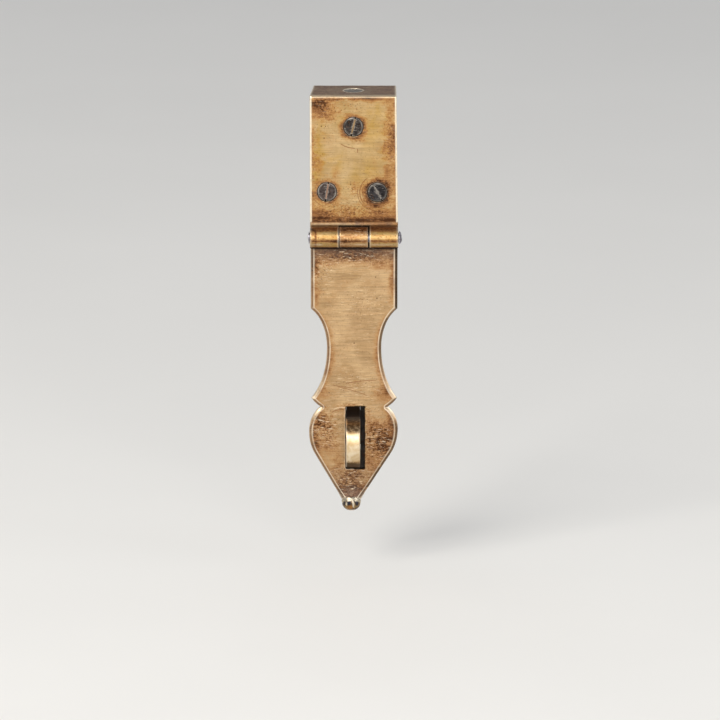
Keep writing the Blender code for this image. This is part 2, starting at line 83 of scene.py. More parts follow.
# Lid plate
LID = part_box("lid_plate")
LID_HALF_WIDTH = LID[1].x
LID_THICK = 2.75 * MM
Z_LID_TOP = LID[1].z + PIN_DROP
FLANGE_DEPTH = LID[1].y
SCOOP_GAP = 0.25 * MM

# Hasp strap
STRAP_THICK = 2.65 * MM
STRAP_BACK_Y = PIN_Y + BORE_R + STRAP_THICK
STRAP_FRONT_Y = STRAP_BACK_Y - STRAP_THICK
STRAP_HALF_WIDTH = 21.3 * MM
Z_STRAP_TOP = -1.5 * MM
Z_KNUCKLE_JOIN = -9.0 * MM
Z_SHOULDER = -36.3 * MM
OUTLINE_STEP = 0.5 * MM
CHAMFER_WIDE = 1.5 * MM
CHAMFER_DEEP = 1.1 * MM
Z_NOTCH = -86.2 * MM
HEART_LEAN = 0.03
SLOT_X = (-4.3 * MM, 5.2 * MM)
SLOT_Z = (-117.8 * MM, -85.9 * MM)
Z_TIP_BEND = -127.4 * MM
TIP_BEND_R = 9.0 * MM
TIP_BEND = radians(32)
TIP_NECK = 1.2 * MM
TIP_HALF_WIDTH = 4.5 * MM
TONGUE_HALF_WIDTH = 3.2 * MM
TONGUE_LONG = 2.0 * MM
KNOB_R = 4.75 * MM
KNOB_COLLAR = 1.5 * MM
KNOB_DOME = 3.9 * MM
KNOB_GAP = 0.25 * MM
KNOB_STEPS = 17

# Staple and clench plate
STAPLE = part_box("staple")
STAPLE_HALF_WIDTH = (STAPLE[1].x - STAPLE[0].x) / 2
STAPLE_X = (STAPLE[0].x + STAPLE[1].x) / 2
STAPLE_THICK = 2.75 * MM
Z_STAPLE = (-114.8 * MM, -91.65 * MM)
STAPLE_REACH = -STAPLE[0].y
STAPLE_ROUND = 11.0 * MM
STAPLE_SQUARENESS = 2.7
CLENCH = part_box("clench_plate")
CLENCH_BEND_R = 2.1 * MM
CLENCH_TAIL = 9.0 * MM

# Screws: (x, height above the pin, slot turned clockwise in degrees)
SCREW_HEAD_R = 4.6 * MM
SCREW_SHANK_R = 2.4 * MM
SCREW_CORE_R = 1.7 * MM
FACE_SCREW_LONG = 19.0 * MM
FLANGE_SCREW_LONG = 12.7 * MM
SCREW_PITCH = 1.95 * MM
SCREW_SUNK = 0.08 * MM
SCREW_RIM = 0.25 * MM
SCREW_CLEARANCE = 0.25 * MM
FACE_SCREWS = {
    "lid_screw_top": (-0.35 * MM, 54.6 * MM, 14),
    "lid_screw_left": (-13.2 * MM, 22.35 * MM, 9),
    "lid_screw_right": (11.4 * MM, 22.1 * MM, -29),
}
# x and distance behind the lid's front, then the slot's turn
FLANGE_SCREW = (-0.35 * MM, 12.2 * MM, 62)
# Faces that meet at more than this are shaded as an edge
SHARP_ANGLE = radians(28)


def srgb(code):
    """A six-digit screen colour as linear values. Node sockets take the six digits themselves."""
    parts = [int(code[i : i + 2], 16) / 255 for i in (0, 2, 4)]
    return tuple(c / 12.92 if c < 0.04045 else ((c + 0.055) / 1.055) ** 2.4 for c in parts)


def smooth_step(low, high, value):
    t = min(1.0, max(0.0, (value - low) / (high - low)))
    return t * t * (3 - 2 * t)


def noise_at(x, y, z):
    return noise.noise(Vector((x, y, z)))


# ---------------- meshes


def link(name, data):
    obj = bpy.data.objects.new(name, data)
    bpy.context.scene.collection.objects.link(obj)
    return obj


@contextmanager
def edited(mesh):
    """A bmesh of the mesh, written back at the end."""
    bm = bmesh.new()
    bm.from_mesh(mesh)
    yield bm
    bm.to_mesh(mesh)
    bm.free()


def loft(name, rings, cap=None):
    """Quads between closed rings of equal length. Both ends are filled, by cap's triangles if given."""
    count = len(rings[0])
    verts = [tuple(p) for ring in rings for p in ring]
    faces = []
    for r in range(len(rings) - 1):
        low, high = r * count, (r + 1) * count
        for i in range(count):
            j = (i + 1) % count
            faces.append((low + i, low + j, high + j, high + i))
    for first in (0, (len(rings) - 1) * count):
        faces += [tuple(first + i for i in face) for face in cap or [range(count)]]
    mesh = bpy.data.meshes.new(name)
    mesh.from_pydata(verts, [], faces)
    with edited(mesh) as bm:
        bmesh.ops.recalc_face_normals(bm, faces=bm.faces)
    return link(name, mesh)


def revolve(name, profile, segments, radius_at=None):
    """A profile of (radius, height) points turned about Z; radius_at(angle, r, h) may change each radius."""
    angles = [2 * pi * i / segments for i in range(segments)]
    rings = []
    for r, h in profile:
        turned = [(radius_at(a, r, h) if radius_at else r, a) for a in angles]
        rings.append([(radius * cos(a), radius * sin(a), h) for radius, a in turned])
    return loft(name, rings)


def combine(obj, others, operation="DIFFERENCE"):
    """Applies one Boolean per other object and removes the others."""
    for other in others:
        modifier = obj.modifiers.new("combine", "BOOLEAN")
        modifier.operation = operation
        modifier.object = other
    bpy.context.view_layer.update()
    graph = bpy.context.evaluated_depsgraph_get()
    mesh = bpy.data.meshes.new_from_object(obj.evaluated_get(graph))
    obj.modifiers.clear()
    obj.data = mesh
    for other in others:
        bpy.data.objects.remove(other)


def arc(centre, radius, start, end, steps):
    """(y, z) points of an arc; angles in radians from +Y towards +Z."""
    turns = [start + (end - start) * i / steps for i in range(steps + 1)]
    return [(centre[0] + radius * cos(t), centre[1] + radius * sin(t)) for t in turns]


def line(start, end, step):
    """Points from start up to but leaving out end, about a step apart."""
    start, end = Vector(start), Vector(end)
    count = max(1, round((end - start).length / step))
    return [tuple(start.lerp(end, i / count)) for i in range(count)]


def spread(low, high, step):
    count = max(1, round((high - low) / step))
    return [low + (high - low) * i / count for i in range(count + 1)]


def shrunk(outline, amount):
    """A closed anticlockwise or clockwise (y, z) outline moved inwards by amount."""
    points = [Vector(p) for p in outline]
    count = len(points)
    area = sum(points[i - 1].cross(points[i]) for i in range(count))
    sign = 1 if area > 0 else -1
    moved = []
    for i, here in enumerate(points):
        first = (here - points[i - 1]).normalized()
        second = (points[(i + 1) % count] - here).normalized()
        along = (first + second).normalized()
        moved.append(here + sign * amount * Vector((-along.y, along.x)))
    return moved


def side_loft(name, outline, x_low, x_high, step, rounding):
    """A closed (y, z) outline drawn out along X, its two side edges rounded over."""
    turns = [pi / 2 * i / 4 for i in range(4)]
    low = [(x_low + rounding * (1 - sin(t)), rounding * (1 - cos(t))) for t in turns[::-1]]
    high = [(x_high - rounding * (1 - sin(t)), rounding * (1 - cos(t))) for t in turns]
    columns = [(x, inset) for x, inset in low]
    columns += [(x, 0.0) for x in spread(x_low + rounding, x_high - rounding, step)[1:-1]]
    columns += high
    rings = []
    for x, inset in columns:
        section = shrunk(outline, inset) if inset else outline
        rings.append([(x, p[0], p[1]) for p in section])
    # The ends take their triangles from the plain outline: a narrowed one may cross itself at corners.
    cap = tessellate_polygon([[Vector((y, z, 0)) for y, z in outline]])
    return loft(name, rings, cap)


def rough_up(obj, height, size, seed, mask=None):
    """Moves each vertex along its normal by smooth noise: height in metres, size of the waves in metres."""
    mesh = obj.data
    offset = Vector((seed * 3.7, seed * 1.3, seed * 2.9))
    normals = [v.normal.copy() for v in mesh.vertices]
    moved = []
    for vertex, normal in zip(mesh.vertices, normals):
        p = vertex.co
        amount = height * noise.fractal(p / size + offset, 1.0, 2.0, 3)
        if mask:
            amount *= mask(p)
        moved.extend(p + normal * amount)
    mesh.vertices.foreach_set("co", moved)
    mesh.update()


def edge_attributes(obj, full=0.5, least=0.16, spread_steps=1, rubbed=None):
    """How sharply each vertex stands out ("wear") or in ("crevice"); rubbed(p, wear) changes wear, and
    callers use it to add painted highlights.
    """
    bm = bmesh.new()
    bm.from_mesh(obj.data)
    out, into = np.zeros(len(bm.verts)), np.zeros(len(bm.verts))
    for i, vertex in enumerate(bm.verts):
        angles = [e.calc_face_angle_signed(0.0) for e in vertex.link_edges if len(e.link_faces) == 2]
        out[i] = max([0.0, *angles])
        into[i] = -min([0.0, *angles])
    pairs = np.array([[v.index for v in e.verts] for e in bm.edges])
    bm.free()
    for name, values in (("wear_and_highlight", out), ("crevice", into)):
        values = np.clip((values - least) / (full - least), 0, 1)
        for _ in range(spread_steps):
            wider = values.copy()
            np.maximum.at(wider, pairs[:, 0], 0.45 * values[pairs[:, 1]])
            np.maximum.at(wider, pairs[:, 1], 0.45 * values[pairs[:, 0]])
            values = wider
        if rubbed and name == "wear_and_highlight":
            values = [rubbed(v.co, value) for v, value in zip(obj.data.vertices, values)]
        store(obj, name, values)


def store(obj, name, values):
    layer = obj.data.attributes.new(name, "FLOAT", "POINT")
    layer.data.foreach_set("value", np.asarray(values, np.float32))


def paint(obj, **attributes):
    """Mesh attributes, each from a function of (position, normal) at each vertex."""
    for name, value_at in attributes.items():
        store(obj, name, [value_at(v.co, v.normal) for v in obj.data.vertices])


def finish(obj, material, body, node):
    """Shades a piece, gives it its material, parents it to its body and hides the CAD part it stands for."""
    obj.data.materials.clear()
    obj.data.materials.append(material)
    obj.data.shade_smooth()
    obj.data.set_sharp_from_angle(angle=SHARP_ANGLE)
    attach(obj, body)
    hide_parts(node)


# ---------------- material wiring


class Wiring:
    """Short calls for the nodes of one metal."""

    def __init__(self, name, metallic=1.0):
        self.material = bpy.data.materials.new(name)
        self.material.use_nodes = True
        self.tree = self.material.node_tree
        self.shader = self.tree.nodes["Principled BSDF"]
        self.shader.inputs["Metallic"].default_value = metallic
        self.place = self.tree.nodes.new("ShaderNodeTexCoord").outputs["Object"]

    def node(self, kind, inputs=(), **settings):
        made = self.tree.nodes.new(kind)
        for key, value in settings.items():
            setattr(made, key, value)
        for key, value in dict(inputs).items():
            self.plug(made.inputs[key], value)
        return made

    def plug(self, socket, value):
        if isinstance(value, bpy.types.NodeSocket):
            self.tree.links.new(value, socket)
        elif value is not None:
            socket.default_value = (*srgb(value), 1) if isinstance(value, str) else value

    def math(self, operation, a, b=None, c=None, clamp=False):
        made = self.node("ShaderNodeMath", {0: a, 1: b, 2: c}, operation=operation)
        made.use_clamp = clamp
        return made.outputs[0]

    def times(self, a, b, clamp=False):
        return self.math("MULTIPLY", a, b, clamp=clamp)

    def times_plus(self, a, b, c):
        return self.math("MULTIPLY_ADD", a, b, c)

    def less(self, a, b):
        return self.math("SUBTRACT", a, b)

    def mix(self, share, a, b, blend="MIX"):
        made = self.node("ShaderNodeMix", data_type="RGBA", blend_type=blend)
        for key, value in ((0, share), (6, a), (7, b)):
            self.plug(made.inputs[key], value)
        return made.outputs[2]

    def over(self, colour, share, layer, most=None):
        """A colour with a layer laid over it, where share says and at most so strong."""
        return self.mix(share if most is None else self.times(share, most), colour, layer)

    def blend(self, share, a, b):
        """A number between a and b."""
        made = self.node("ShaderNodeMix", {0: share, 2: a, 3: b}, data_type="FLOAT")
        return made.outputs[0]

    def scaled(self, factors, turn=0.0, shift=(0, 0, 0)):
        inputs = {"Vector": self.place, "Scale": factors, "Rotation": (0, turn, 0), "Location": shift}
        return self.node("ShaderNodeMapping", inputs).outputs[0]

    def noise(self, factors, detail=3.0, roughness=0.5, distortion=0.0, turn=0.0, shift=(0, 0, 0)):
        """Noise whose grain is 1/factor metres along each axis; one factor stands for all three."""
        factors = factors if isinstance(factors, tuple) else (factors,) * 3
        inputs = {"Vector": self.scaled(factors, turn, shift), "Scale": 1.0, "Detail": detail}
        inputs |= {"Roughness": roughness, "Distortion": distortion}
        return self.node("ShaderNodeTexNoise", inputs).outputs[0]

    def steps(self, value, low, high, to_low=0.0, to_high=1.0):
        inputs = {0: value, 1: low, 2: high, 3: to_low, 4: to_high}
        return self.node("ShaderNodeMapRange", inputs, interpolation_type="SMOOTHSTEP").outputs[0]

    def attribute(self, name):
        return self.node("ShaderNodeAttribute", attribute_name=name).outputs["Fac"]

    def ramp(self, value, stops):
        made = self.node("ShaderNodeValToRGB", {0: value})
        elements = made.color_ramp.elements
        while len(elements) < len(stops):
            elements.new(0.5)
        for element, (place, colour) in zip(elements, stops):
            element.position = place
            element.color = (*srgb(colour), 1)
        return made.outputs[0]

    def ring(self, centre, radius, width, start, end):
        """1 on a thin arc in the XZ plane about centre (x, z), between two angles in degrees from +X."""
        x, z = centre
        moved = self.node("ShaderNodeVectorMath", {0: self.place, 1: (x, 0, z)}, operation="SUBTRACT")
        flat = self.node("ShaderNodeVectorMath", {0: moved.outputs[0], 1: (1, 0, 1)}, operation="MULTIPLY")
        length = self.node("ShaderNodeVectorMath", {0: flat.outputs[0]}, operation="LENGTH")
        off = self.math("ABSOLUTE", self.less(length.outputs["Value"], radius))
        on = self.steps(off, width, 0.4 * width)
        split = self.node("ShaderNodeSeparateXYZ", {0: flat.outputs[0]})
        angle = self.math("ARCTAN2", split.outputs[2], split.outputs[0])
        middle, half = radians((start + end) / 2), radians((end - start) / 2)
        turned = self.math("WRAP", self.less(angle, middle), pi, -pi)
        within = self.steps(self.math("ABSOLUTE", turned), half, 0.75 * half)
        return self.times(on, within)

    def strongest(self, values):
        made = values[0] if values else 0.0
        for value in values[1:]:
            made = self.math("MAXIMUM", made, value)
        return made

    def surface(self, colour, roughness, height, strength, distance, soot=None):
        # Painted shade also turns down the metal's reflection.
        if soot is not None:
            clean = self.less(1.0, soot)
            self.plug(self.shader.inputs["Metallic"], clean)
            self.plug(self.shader.inputs["Specular IOR Level"], self.times(clean, 0.5))
        self.plug(self.shader.inputs["Base Color"], colour)
        self.plug(self.shader.inputs["Roughness"], roughness)
        if height is not None:
            inputs = {"Height": height, "Strength": strength, "Distance": distance}
            bump = self.node("ShaderNodeBump", inputs).outputs[0]
            self.plug(self.shader.inputs["Normal"], bump)
        return self.material


def brass(name, looks):
    """Worn brass: brushed, pitted, brown with stains and painted shade, near black and dull where shade is
    painted, bright on worn edges and painted highlights.
    """
    w = Wiring(name)
    seed = looks["seed"]
    cloud = w.noise(90, 4, 0.6, 0.3, shift=(seed, 0, seed))
    colour = w.mix(w.steps(cloud, 0.32, 0.68), looks["dark"], looks["light"])
    gold = w.steps(w.noise((70, 150, 45), 4, 0.65, 0.4, shift=(0, seed, 1)), 0.38, 0.66, 0.25, 1.0)
    colour = w.over(colour, w.times(w.attribute("gold"), gold, clamp=True), looks["gold"])

    turn = 0.02
    fine = w.noise((90, 300, 2600), 4, 0.65, 0.25, turn, (seed, 0, 2 * seed))
    wide = w.noise((45, 120, 700), 3, 0.6, 0.5, -turn, (0, seed, seed))
    lines = w.times_plus(fine, 0.6, w.times(wide, 0.4))
    shade = w.steps(lines, 0.36, 0.64, looks["line_dark"], 1.06)
    grey = w.node("ShaderNodeCombineColor", {0: shade, 1: shade, 2: shade}).outputs[0]
    colour = w.mix(1.0, colour, grey, "MULTIPLY")

    # Brown stain and painted shade in three depths, broken up by streaks and blotches
    streak = w.noise((120, 300, 1100), 4, 0.7, 0.8, 0.05, (seed, 0, 0))
    blotch = w.noise(380, 5, 0.72, 0.5, 0.0, (0, 0, seed))
    drift = w.noise(60, 4, 0.6, 0.5, 0.0, (seed, 5, 0))
    broken = w.times_plus(streak, 0.5, w.times(blotch, 0.5))
    base = w.math("ADD", w.attribute("patina"), w.steps(drift, 0.45, 0.75, 0.0, looks["drift"]))
    reach = w.times_plus(base, 0.9, 0.22)
    loose = w.times(w.less(broken, 0.5), looks["break_up"])
    grit = w.noise((700, 700, 1100), 4, 0.7, 0.6, 0.0, (seed, 1, seed))
    gritty = w.times(w.attribute("speckle"), w.less(grit, 0.5))
    stain = w.times_plus(gritty, looks["grit"], w.times_plus(loose, reach, base))
    colour = w.over(colour, w.steps(stain, 0.04, 0.5, 0.0, 0.75), looks["stain_light"])
    colour = w.over(colour, w.steps(stain, 0.3, 0.85, 0.0, 0.9), looks["stain"])
    colour = w.over(colour, w.steps(stain, 0.72, 1.2, 0.0, 0.95), looks["stain_dark"])
    # Grey-brown dirt, and painted dark reflection on the flange's top
    dull = w.times(w.attribute("grime"), w.steps(blotch, 0.3, 0.65, 0.6, 1.0), clamp=True)
    colour = w.over(colour, dull, looks["grime"])

    # Pits and specks
    cells = w.node("ShaderNodeTexVoronoi", {"Vector": w.place, "Scale": 230.0}).outputs["Distance"]
    sparse = w.steps(w.noise(160, 2, 0.5, 0, 0, (3 + seed, 0, 1)), 0.55, 0.68)
    pit = w.times(w.steps(cells, 0.12, 0.05), sparse)
    speck = w.steps(w.noise(1100, 3, 0.6, 0, 0, (seed, 2, 0)), 0.56, 0.66)
    speck = w.times(speck, w.times_plus(w.attribute("speckle"), 0.9, 0.1), clamp=True)
    spots = [pit, speck]
    for x, z, radius in looks["pits"]:
        spots.append(w.ring((x * MM, z * MM - MARKS_DROP), 0.0, radius * MM, -180, 540))
    spots = w.strongest(spots)
    colour = w.over(colour, spots, looks["stain_dark"], 0.8)
    rubbed = w.steps(w.noise((260, 400, 1900), 4, 0.7, 0.4, 0.35, (5, 0, seed)), 0.56, 0.66)
    rubbed = w.times(rubbed, w.times(w.attribute("speckle"), looks["rubbed"]), clamp=True)
    colour = w.over(colour, rubbed, looks["scratch"])

    lit, cut = [], []
    for x, z, r, width, a, b, dark in looks["scratches"]:
        (cut if dark else lit).append(w.ring((x * MM, z * MM - MARKS_DROP), r * MM, width * MM, a, b))
    lit, cut = w.strongest(lit), w.strongest(cut)
    colour = w.over(colour, lit, looks["scratch"], 0.4)
    colour = w.over(colour, cut, looks["stain"], 0.75)

    crevice = w.steps(w.attribute("crevice"), 0.1, 0.8)
    colour = w.over(colour, crevice, looks["stain_dark"], 0.8)
    # Near-white on worn edges and on painted edge highlights
    worn = w.times(w.attribute("wear_and_highlight"), w.steps(blotch, 0.25, 0.5, 0.5, 1.0), clamp=True)
    colour = w.over(colour, worn, looks["edge"])
    # Near black and unreflective where shade is painted
    soot = w.attribute("soot")
    colour = w.over(colour, soot, "120c08")

    rough = w.steps(lines, 0.3, 0.7, looks["rough"] - 0.05, looks["rough"] + 0.07)
    rough = w.blend(w.steps(stain, 0.2, 0.9), rough, 0.5)
    rough = w.blend(dull, rough, 0.55)
    rough = w.blend(worn, rough, 0.3)
    rough = w.blend(soot, rough, 0.8)
    height = w.times_plus(lines, 0.5, w.times(blotch, 0.6))
    height = w.less(height, w.times(spots, 0.9))
    height = w.less(height, w.times(w.math("ADD", cut, lit), 0.5))
    return w.surface(colour, rough, height, 0.4, 0.12 * MM, soot)


BROWNS = {
    "stain_light": "b08456",
    "stain": "865a39",
    "stain_dark": "472c1c",
    "grime": "6a564a",
}
# pits: (x, height, radius); scratches: (x, height, radius, width, from, to, dark), in mm and degrees
LID_LOOKS = BROWNS | {
    "seed": 1.3,
    "stain_light": "ab7b45",
    "dark": "ae9269",
    "light": "c6aa80",
    "gold": "b08c46",
    "edge": "fff3da",
    "scratch": "fbe6c4",
    "rough": 0.34,
    "line_dark": 0.8,
    "drift": 0.3,
    "break_up": 2.2,
    "grit": 2.2,
    "rubbed": 0.16,
    "pits": [(-15.9, 56.3, 0.5), (-13.9, 56.2, 0.4), (-14.6, 50.4, 0.45)],
    "scratches": [
        (0.3, 57, 11.6, 0.34, 232, 272, True), (-6.5, 44.2, 8.2, 0.3, -8, 8, True),
        (11.4, 23.5, 8.6, 0.34, 118, 225, True), (11.4, 23.5, 7.4, 0.26, 150, 262, True),
        (11.4, 23.5, 9.7, 0.22, 165, 232, True), (10.9, 24.2, 6.6, 0.26, 175, 285, True),
        (-13.2, 23.7, 7.2, 0.24, 205, 262, True),
    ],
}
STRAP_LOOKS = BROWNS | {
    "seed": 4.1,
    "dark": "b3926a",
    "light": "c9a980",
    "gold": "b58d4c",
    "edge": "fff0d6",
    "scratch": "fde9c8",
    "rough": 0.36,
    "line_dark": 0.74,
    "drift": 0.24,
    "break_up": 2.1,
    "grit": 3.2,
    "rubbed": 0.75,
    "pits": [(0.0, -52.3, 0.45), (11.2, -29.6, 0.5), (6.4, -30.2, 0.3)],
    "scratches": [
        (14, -171, 100, 0.26, 91, 101, True), (-30, -172, 100, 0.22, 68, 78, True),
        (2, -20, 55, 0.2, 256, 268, True), (-6, -93.5, 8.6, 0.34, 60, 122, False),
        (-6.2, -94.4, 8.4, 0.3, 75, 128, True),
    ],
}


# ---------------- camera, lights, floor

CAMERA_PITCH = radians(14)
CAMERA_LENS = 223
CAMERA_AWAY = 2.2
CAMERA_AIM = Vector((2.9 * MM, 0, -96.5 * MM))
FLOOR_DROP = 30 * MM
FLOOR_RADII = (24.0, 8.0, 3.0, 1.0, 0.2)
STUDIO_LOW = (0.80, 0.79, 0.77, 1)
STUDIO_HIGH = (0.62, 0.65, 0.70, 1)
STUDIO_STRENGTH = 0.75


def make_camera():
    data = bpy.data.cameras.new("camera")
    data.lens = CAMERA_LENS
    camera = link("camera", data)
    back = Vector((0, -cos(CAMERA_PITCH), sin(CAMERA_PITCH)))
    camera.location = CAMERA_AIM + back * CAMERA_AWAY
    camera.rotation_euler = (-back).to_track_quat("-Z", "Y").to_euler()
    bpy.context.scene.camera = camera


def make_light(name, place, aim, size, power, colour):
    data = bpy.data.lights.new(name, "AREA")
    data.shape = "RECTANGLE"
    data.size, data.size_y = size
    data.energy = power
    data.color = colour
    light = link(name, data)
    light.location = place
    light.rotation_euler = (Vector(aim) - Vector(place)).to_track_quat("-Z", "Y").to_euler()


def make_world():
    world = bpy.data.worlds.new("studio")
    world.use_nodes = True
    tree = world.node_tree
    place = tree.nodes.new("ShaderNodeTexCoord").outputs["Generated"]
    split = tree.nodes.new("ShaderNodeSeparateXYZ")
    tree.links.new(place, split.inputs[0])
    ramp = tree.nodes.new("ShaderNodeValToRGB")
    ramp.color_ramp.elements[0].color = STUDIO_LOW
    ramp.color_ramp.elements[1].color = STUDIO_HIGH
    tree.links.new(split.outputs[2], ramp.inputs[0])
    background = tree.nodes["Background"]
    background.inputs["Strength"].default_value = STUDIO_STRENGTH
    tree.links.new(ramp.outputs[0], background.inputs["Color"])
    bpy.context.scene.world = world


def make_floor():
    floor_z = cad_low.z - FLOOR_DROP
    turns = np.linspace(0, 2 * pi, 48, False)
    rings = [[(r * cos(a), r * sin(a), floor_z) for a in turns] for r in FLOOR_RADII]
    floor = loft("floor", rings)
    with edited(floor.data) as bm:
        bm.faces.ensure_lookup_table()
        bm.faces.remove(bm.faces[-2])
        for face in bm.faces:
            if face.normal.z < 0:
                face.normal_flip()
    w = Wiring("pale_floor", 0.0)
    mottle = w.noise(2.5, 4, 0.6)
    colour = w.mix(w.steps(mottle, 0.3, 0.7), "e6e4e0", "e8e6e2")
    floor.data.materials.append(w.surface(colour, w.steps(mottle, 0.3, 0.7, 0.6, 0.7), None, 0, 0))


# ---------------- lid plate


def above_pin(z):
    return z - PIN_DROP


def rolled_knuckle(front_y, outer_r, down):
    """The (y, z) outline of a roll round the pin: its outside up to a seam at front_y, then the bore."""
    seam_y = front_y - SEAM_GAP - PIN_Y
    outer_end = 2 * pi - acos(seam_y / outer_r)
    inner_end = 2 * pi - acos(seam_y / BORE_R)
    sign = -1 if down else 1
    centre = (PIN_Y, above_pin(0))
    outer = arc(centre, outer_r, 0, sign * outer_end, ROLL_STEPS)
    inner = arc(centre, BORE_R, sign * inner_end, 0, ROLL_STEPS // 3)
    return outer + line(outer[-1], inner[0], 0.7 * MM)[1:] + inner


RIDGE = (5.15 * MM, 6.9 * MM)
RIDGE_PROUD = 0.22 * MM


def screw_frame(point, out, turn):
    """Matrix of a screw whose head's flat centre is at point, facing out, slot turned by degrees."""
    outward = Vector(out)
    up = Vector((0, 0, 1)) if abs(outward.z) < 0.5 else Vector((0, 1, 0))
    basis = Matrix((up.cross(outward), up, outward)).transposed().to_4x4()
    return Matrix.Translation(point) @ basis @ Matrix.Rotation(radians(-turn), 4, "Z")


def countersink(point, out):
    mouth = SCREW_HEAD_R + SCREW_CLEARANCE
    hole = SCREW_SHANK_R + SCREW_CLEARANCE
    rim = SCREW_RIM + SCREW_SUNK
    profile = [(mouth + 0.9 * MM, 1 * MM), (mouth + 0.1 * MM, 0.05 * MM), (mouth + 0.03 * MM, -0.1 * MM)]
    profile += [(mouth, -rim), (hole, -rim - (mouth - hole)), (hole, -2 * LID_THICK)]
    cutter = revolve("cut", profile, 56)
    cutter.data.transform(screw_frame(point, out, 0))
    return cutter


def pin_cylinder(radius, low, high):
    """A cutter round the pin's axis, from one X to another."""
    points = arc((PIN_Y, above_pin(0)), radius, 0, 2 * pi, 96)[:-1]
    return loft("cut", [[(x, y, z) for y, z in points] for x in (low, high)])


def lid_outline():
    front_y = -LID_THICK
    top = above_pin(Z_LID_TOP)
    fold = 0.9 * MM
    outline = line((0.0, top - LID_THICK), (0.0, above_pin(0)), 1.5 * MM)
    outline += rolled_knuckle(front_y, ROLL_R, True)[:-1]
    for y, z in line((front_y, above_pin(0)), (front_y, top - fold), 0.5 * MM):
        height = z + PIN_DROP
        if RIDGE[0] < height < RIDGE[1]:
            across = (height - RIDGE[0]) / (RIDGE[1] - RIDGE[0])
            y -= RIDGE_PROUD * sin(pi * across) ** 0.8
        outline.append((y, z))
    outline += arc((front_y + fold, top - fold), fold, pi, pi / 2, 6)
    flange_end = 0.7 * MM
    outline += line((front_y + fold + 0.5 * MM, top), (FLANGE_DEPTH - flange_end, top), 0.7 * MM)
    outline += arc((FLANGE_DEPTH - flange_end, top - flange_end), flange_end, pi / 2, 0, 3)
    outline += line((FLANGE_DEPTH, top - 1.3 * MM), (FLANGE_DEPTH, top - LID_THICK), 0.8 * MM)
    outline += line((FLANGE_DEPTH, top - LID_THICK), (0.6 * MM, top - LID_THICK), 2 * MM)
    return outline


# Stains, gold and speckled patches of the lid plate: (x, height, half width, half height, strength)
LID_STAINS = [
    (-17, 67.6, 6.6, 5.6, 0.95), (-12.5, 70, 10, 2.4, 0.7), (6, 70.4, 14, 2.3, 0.85),
    (16.5, 69.5, 6, 3.6, 0.5), (19.6, 66.5, 3, 5, 0.5), (18.4, 50, 5, 17, 0.6), (18, 63, 4, 8, 0.5),
    (-14.5, 63.5, 9, 6.5, 0.62), (-17.2, 37, 3.2, 6, 0.4), (-8.6, 33, 2.4, 5, 0.34),
    (16.6, 33, 3.4, 6, 0.6), (19.8, 38, 3.4, 22, 0.42), (-20.4, 40, 2.2, 26, 0.36),
    (-15, 26.2, 6.4, 5.2, 0.8), (-19.6, 23, 3.4, 2.6, 0.7), (-10.5, 20.5, 5.4, 4.4, 0.45),
    (11.6, 24, 8.4, 8.4, 0.88), (17, 27, 4.8, 6.5, 0.55), (9, 17.5, 7, 3.4, 0.5),
    (-0.4, 55.4, 6.6, 7, 0.75), (1.4, 50.4, 4.6, 3, 0.45), (1.6, 26, 4.6, 6, 0.34),
    (-16, 13, 9, 3.4, 0.5), (12, 13.5, 11, 2.6, 0.4), (-4, 14.5, 6, 3, 0.3),
]
LID_GOLD = [
    (-17, 38, 3.2, 26, 0.95), (16.4, 50, 3, 20, 0.9), (8, 60, 16, 14, 0.75), (6, 33, 12, 8, 0.5),
    (-8, 36, 4, 12, 0.5), (-4, 12, 22, 6, 0.6),
]
LID_SPECKLED = [
    (-1, 25, 5, 4.6, 1), (-2, 14, 22, 6, 0.9), (-14, 62, 8, 10, 0.6), (11.4, 24, 11, 10, 0.9),
    (-14, 24, 9, 7, 0.8), (0, 55, 8, 8, 0.8), (18, 50, 6, 22, 0.6), (-10, 67, 16, 7, 0.8),
    (-19, 40, 3, 24, 0.5),
]


def stained(stains, p, wobble=1.6):
    """How strongly any of the stains covers a point."""
    near = Vector((130 * p.x, 0, 480 * p.z))
    dx = 1.6 * wobble * MM * noise.noise(near)
    dz = 0.6 * wobble * MM * noise.noise(near + Vector((9.1, 4, 0)))
    most = 0.0
    for x, z, wide, high, strength in stains:
        across = (p.x + dx - x * MM) / (wide * MM)
        up = (p.z + dz + MARKS_DROP - z * MM) / (high * MM)
        most = max(most, strength * (1 - smooth_step(0.1, 1.3, hypot(across, up))))
    return most


def around_pin(p):
    """Degrees round the pin from the front, upwards, for a point on a knuckle's outside; None elsewhere."""
    y, z = p.y - PIN_Y, p.z + PIN_DROP
    if p.y > STRAP_FRONT_Y - 0.2 * MM or not ROLL_R - 0.8 * MM < hypot(y, z) < ROLL_R + 0.3 * MM:
        return None
    return degrees(atan2(z, -y))


def knuckle_stain_and_shade(p, around):
    """Brown along the top (a painted dark reflection) and the underside (painted shade) of a knuckle, with a
    broken line of stain across its front.
    """
    wave = noise_at(p.x * 90, 2, around * 0.05)
    across = 0.95 * exp(-(((around + 6 + 6 * wave) / 9) ** 2)) * smooth_step(-0.6, 0.1, wave)
    streak = 0.12 + 0.3 * smooth_step(0.0, 0.6, noise_at(p.x * 120, 0, around * 0.16))
    return max(0.8 * smooth_step(32, 58, around), 1.1 * smooth_step(-38, -54, around), across, streak)


def knuckle_painted_highlight(p, around):
    """A painted highlight line low on a knuckle's front, broken along its length."""
    return 0.6 * exp(-(((around + 28) / 5) ** 2)) * smooth_step(-0.2, 0.4, noise_at(p.x * 130, 7, 0))


def knuckle_soot(p, n, around):
    """Painted shade: black where knuckles face each other and underneath."""
    under = smooth_step(-42, -64, around)
    return max(under, 0.75 * smooth_step(0.75, 0.97, abs(n.x)))


# How strong and how wide (in millimetres) the stain round each face screw is
SCREW_HALO = {"lid_screw_top": (1.35, 4.4), "lid_screw_left": (1.2, 3.8), "lid_screw_right": (1.75, 5.0)}


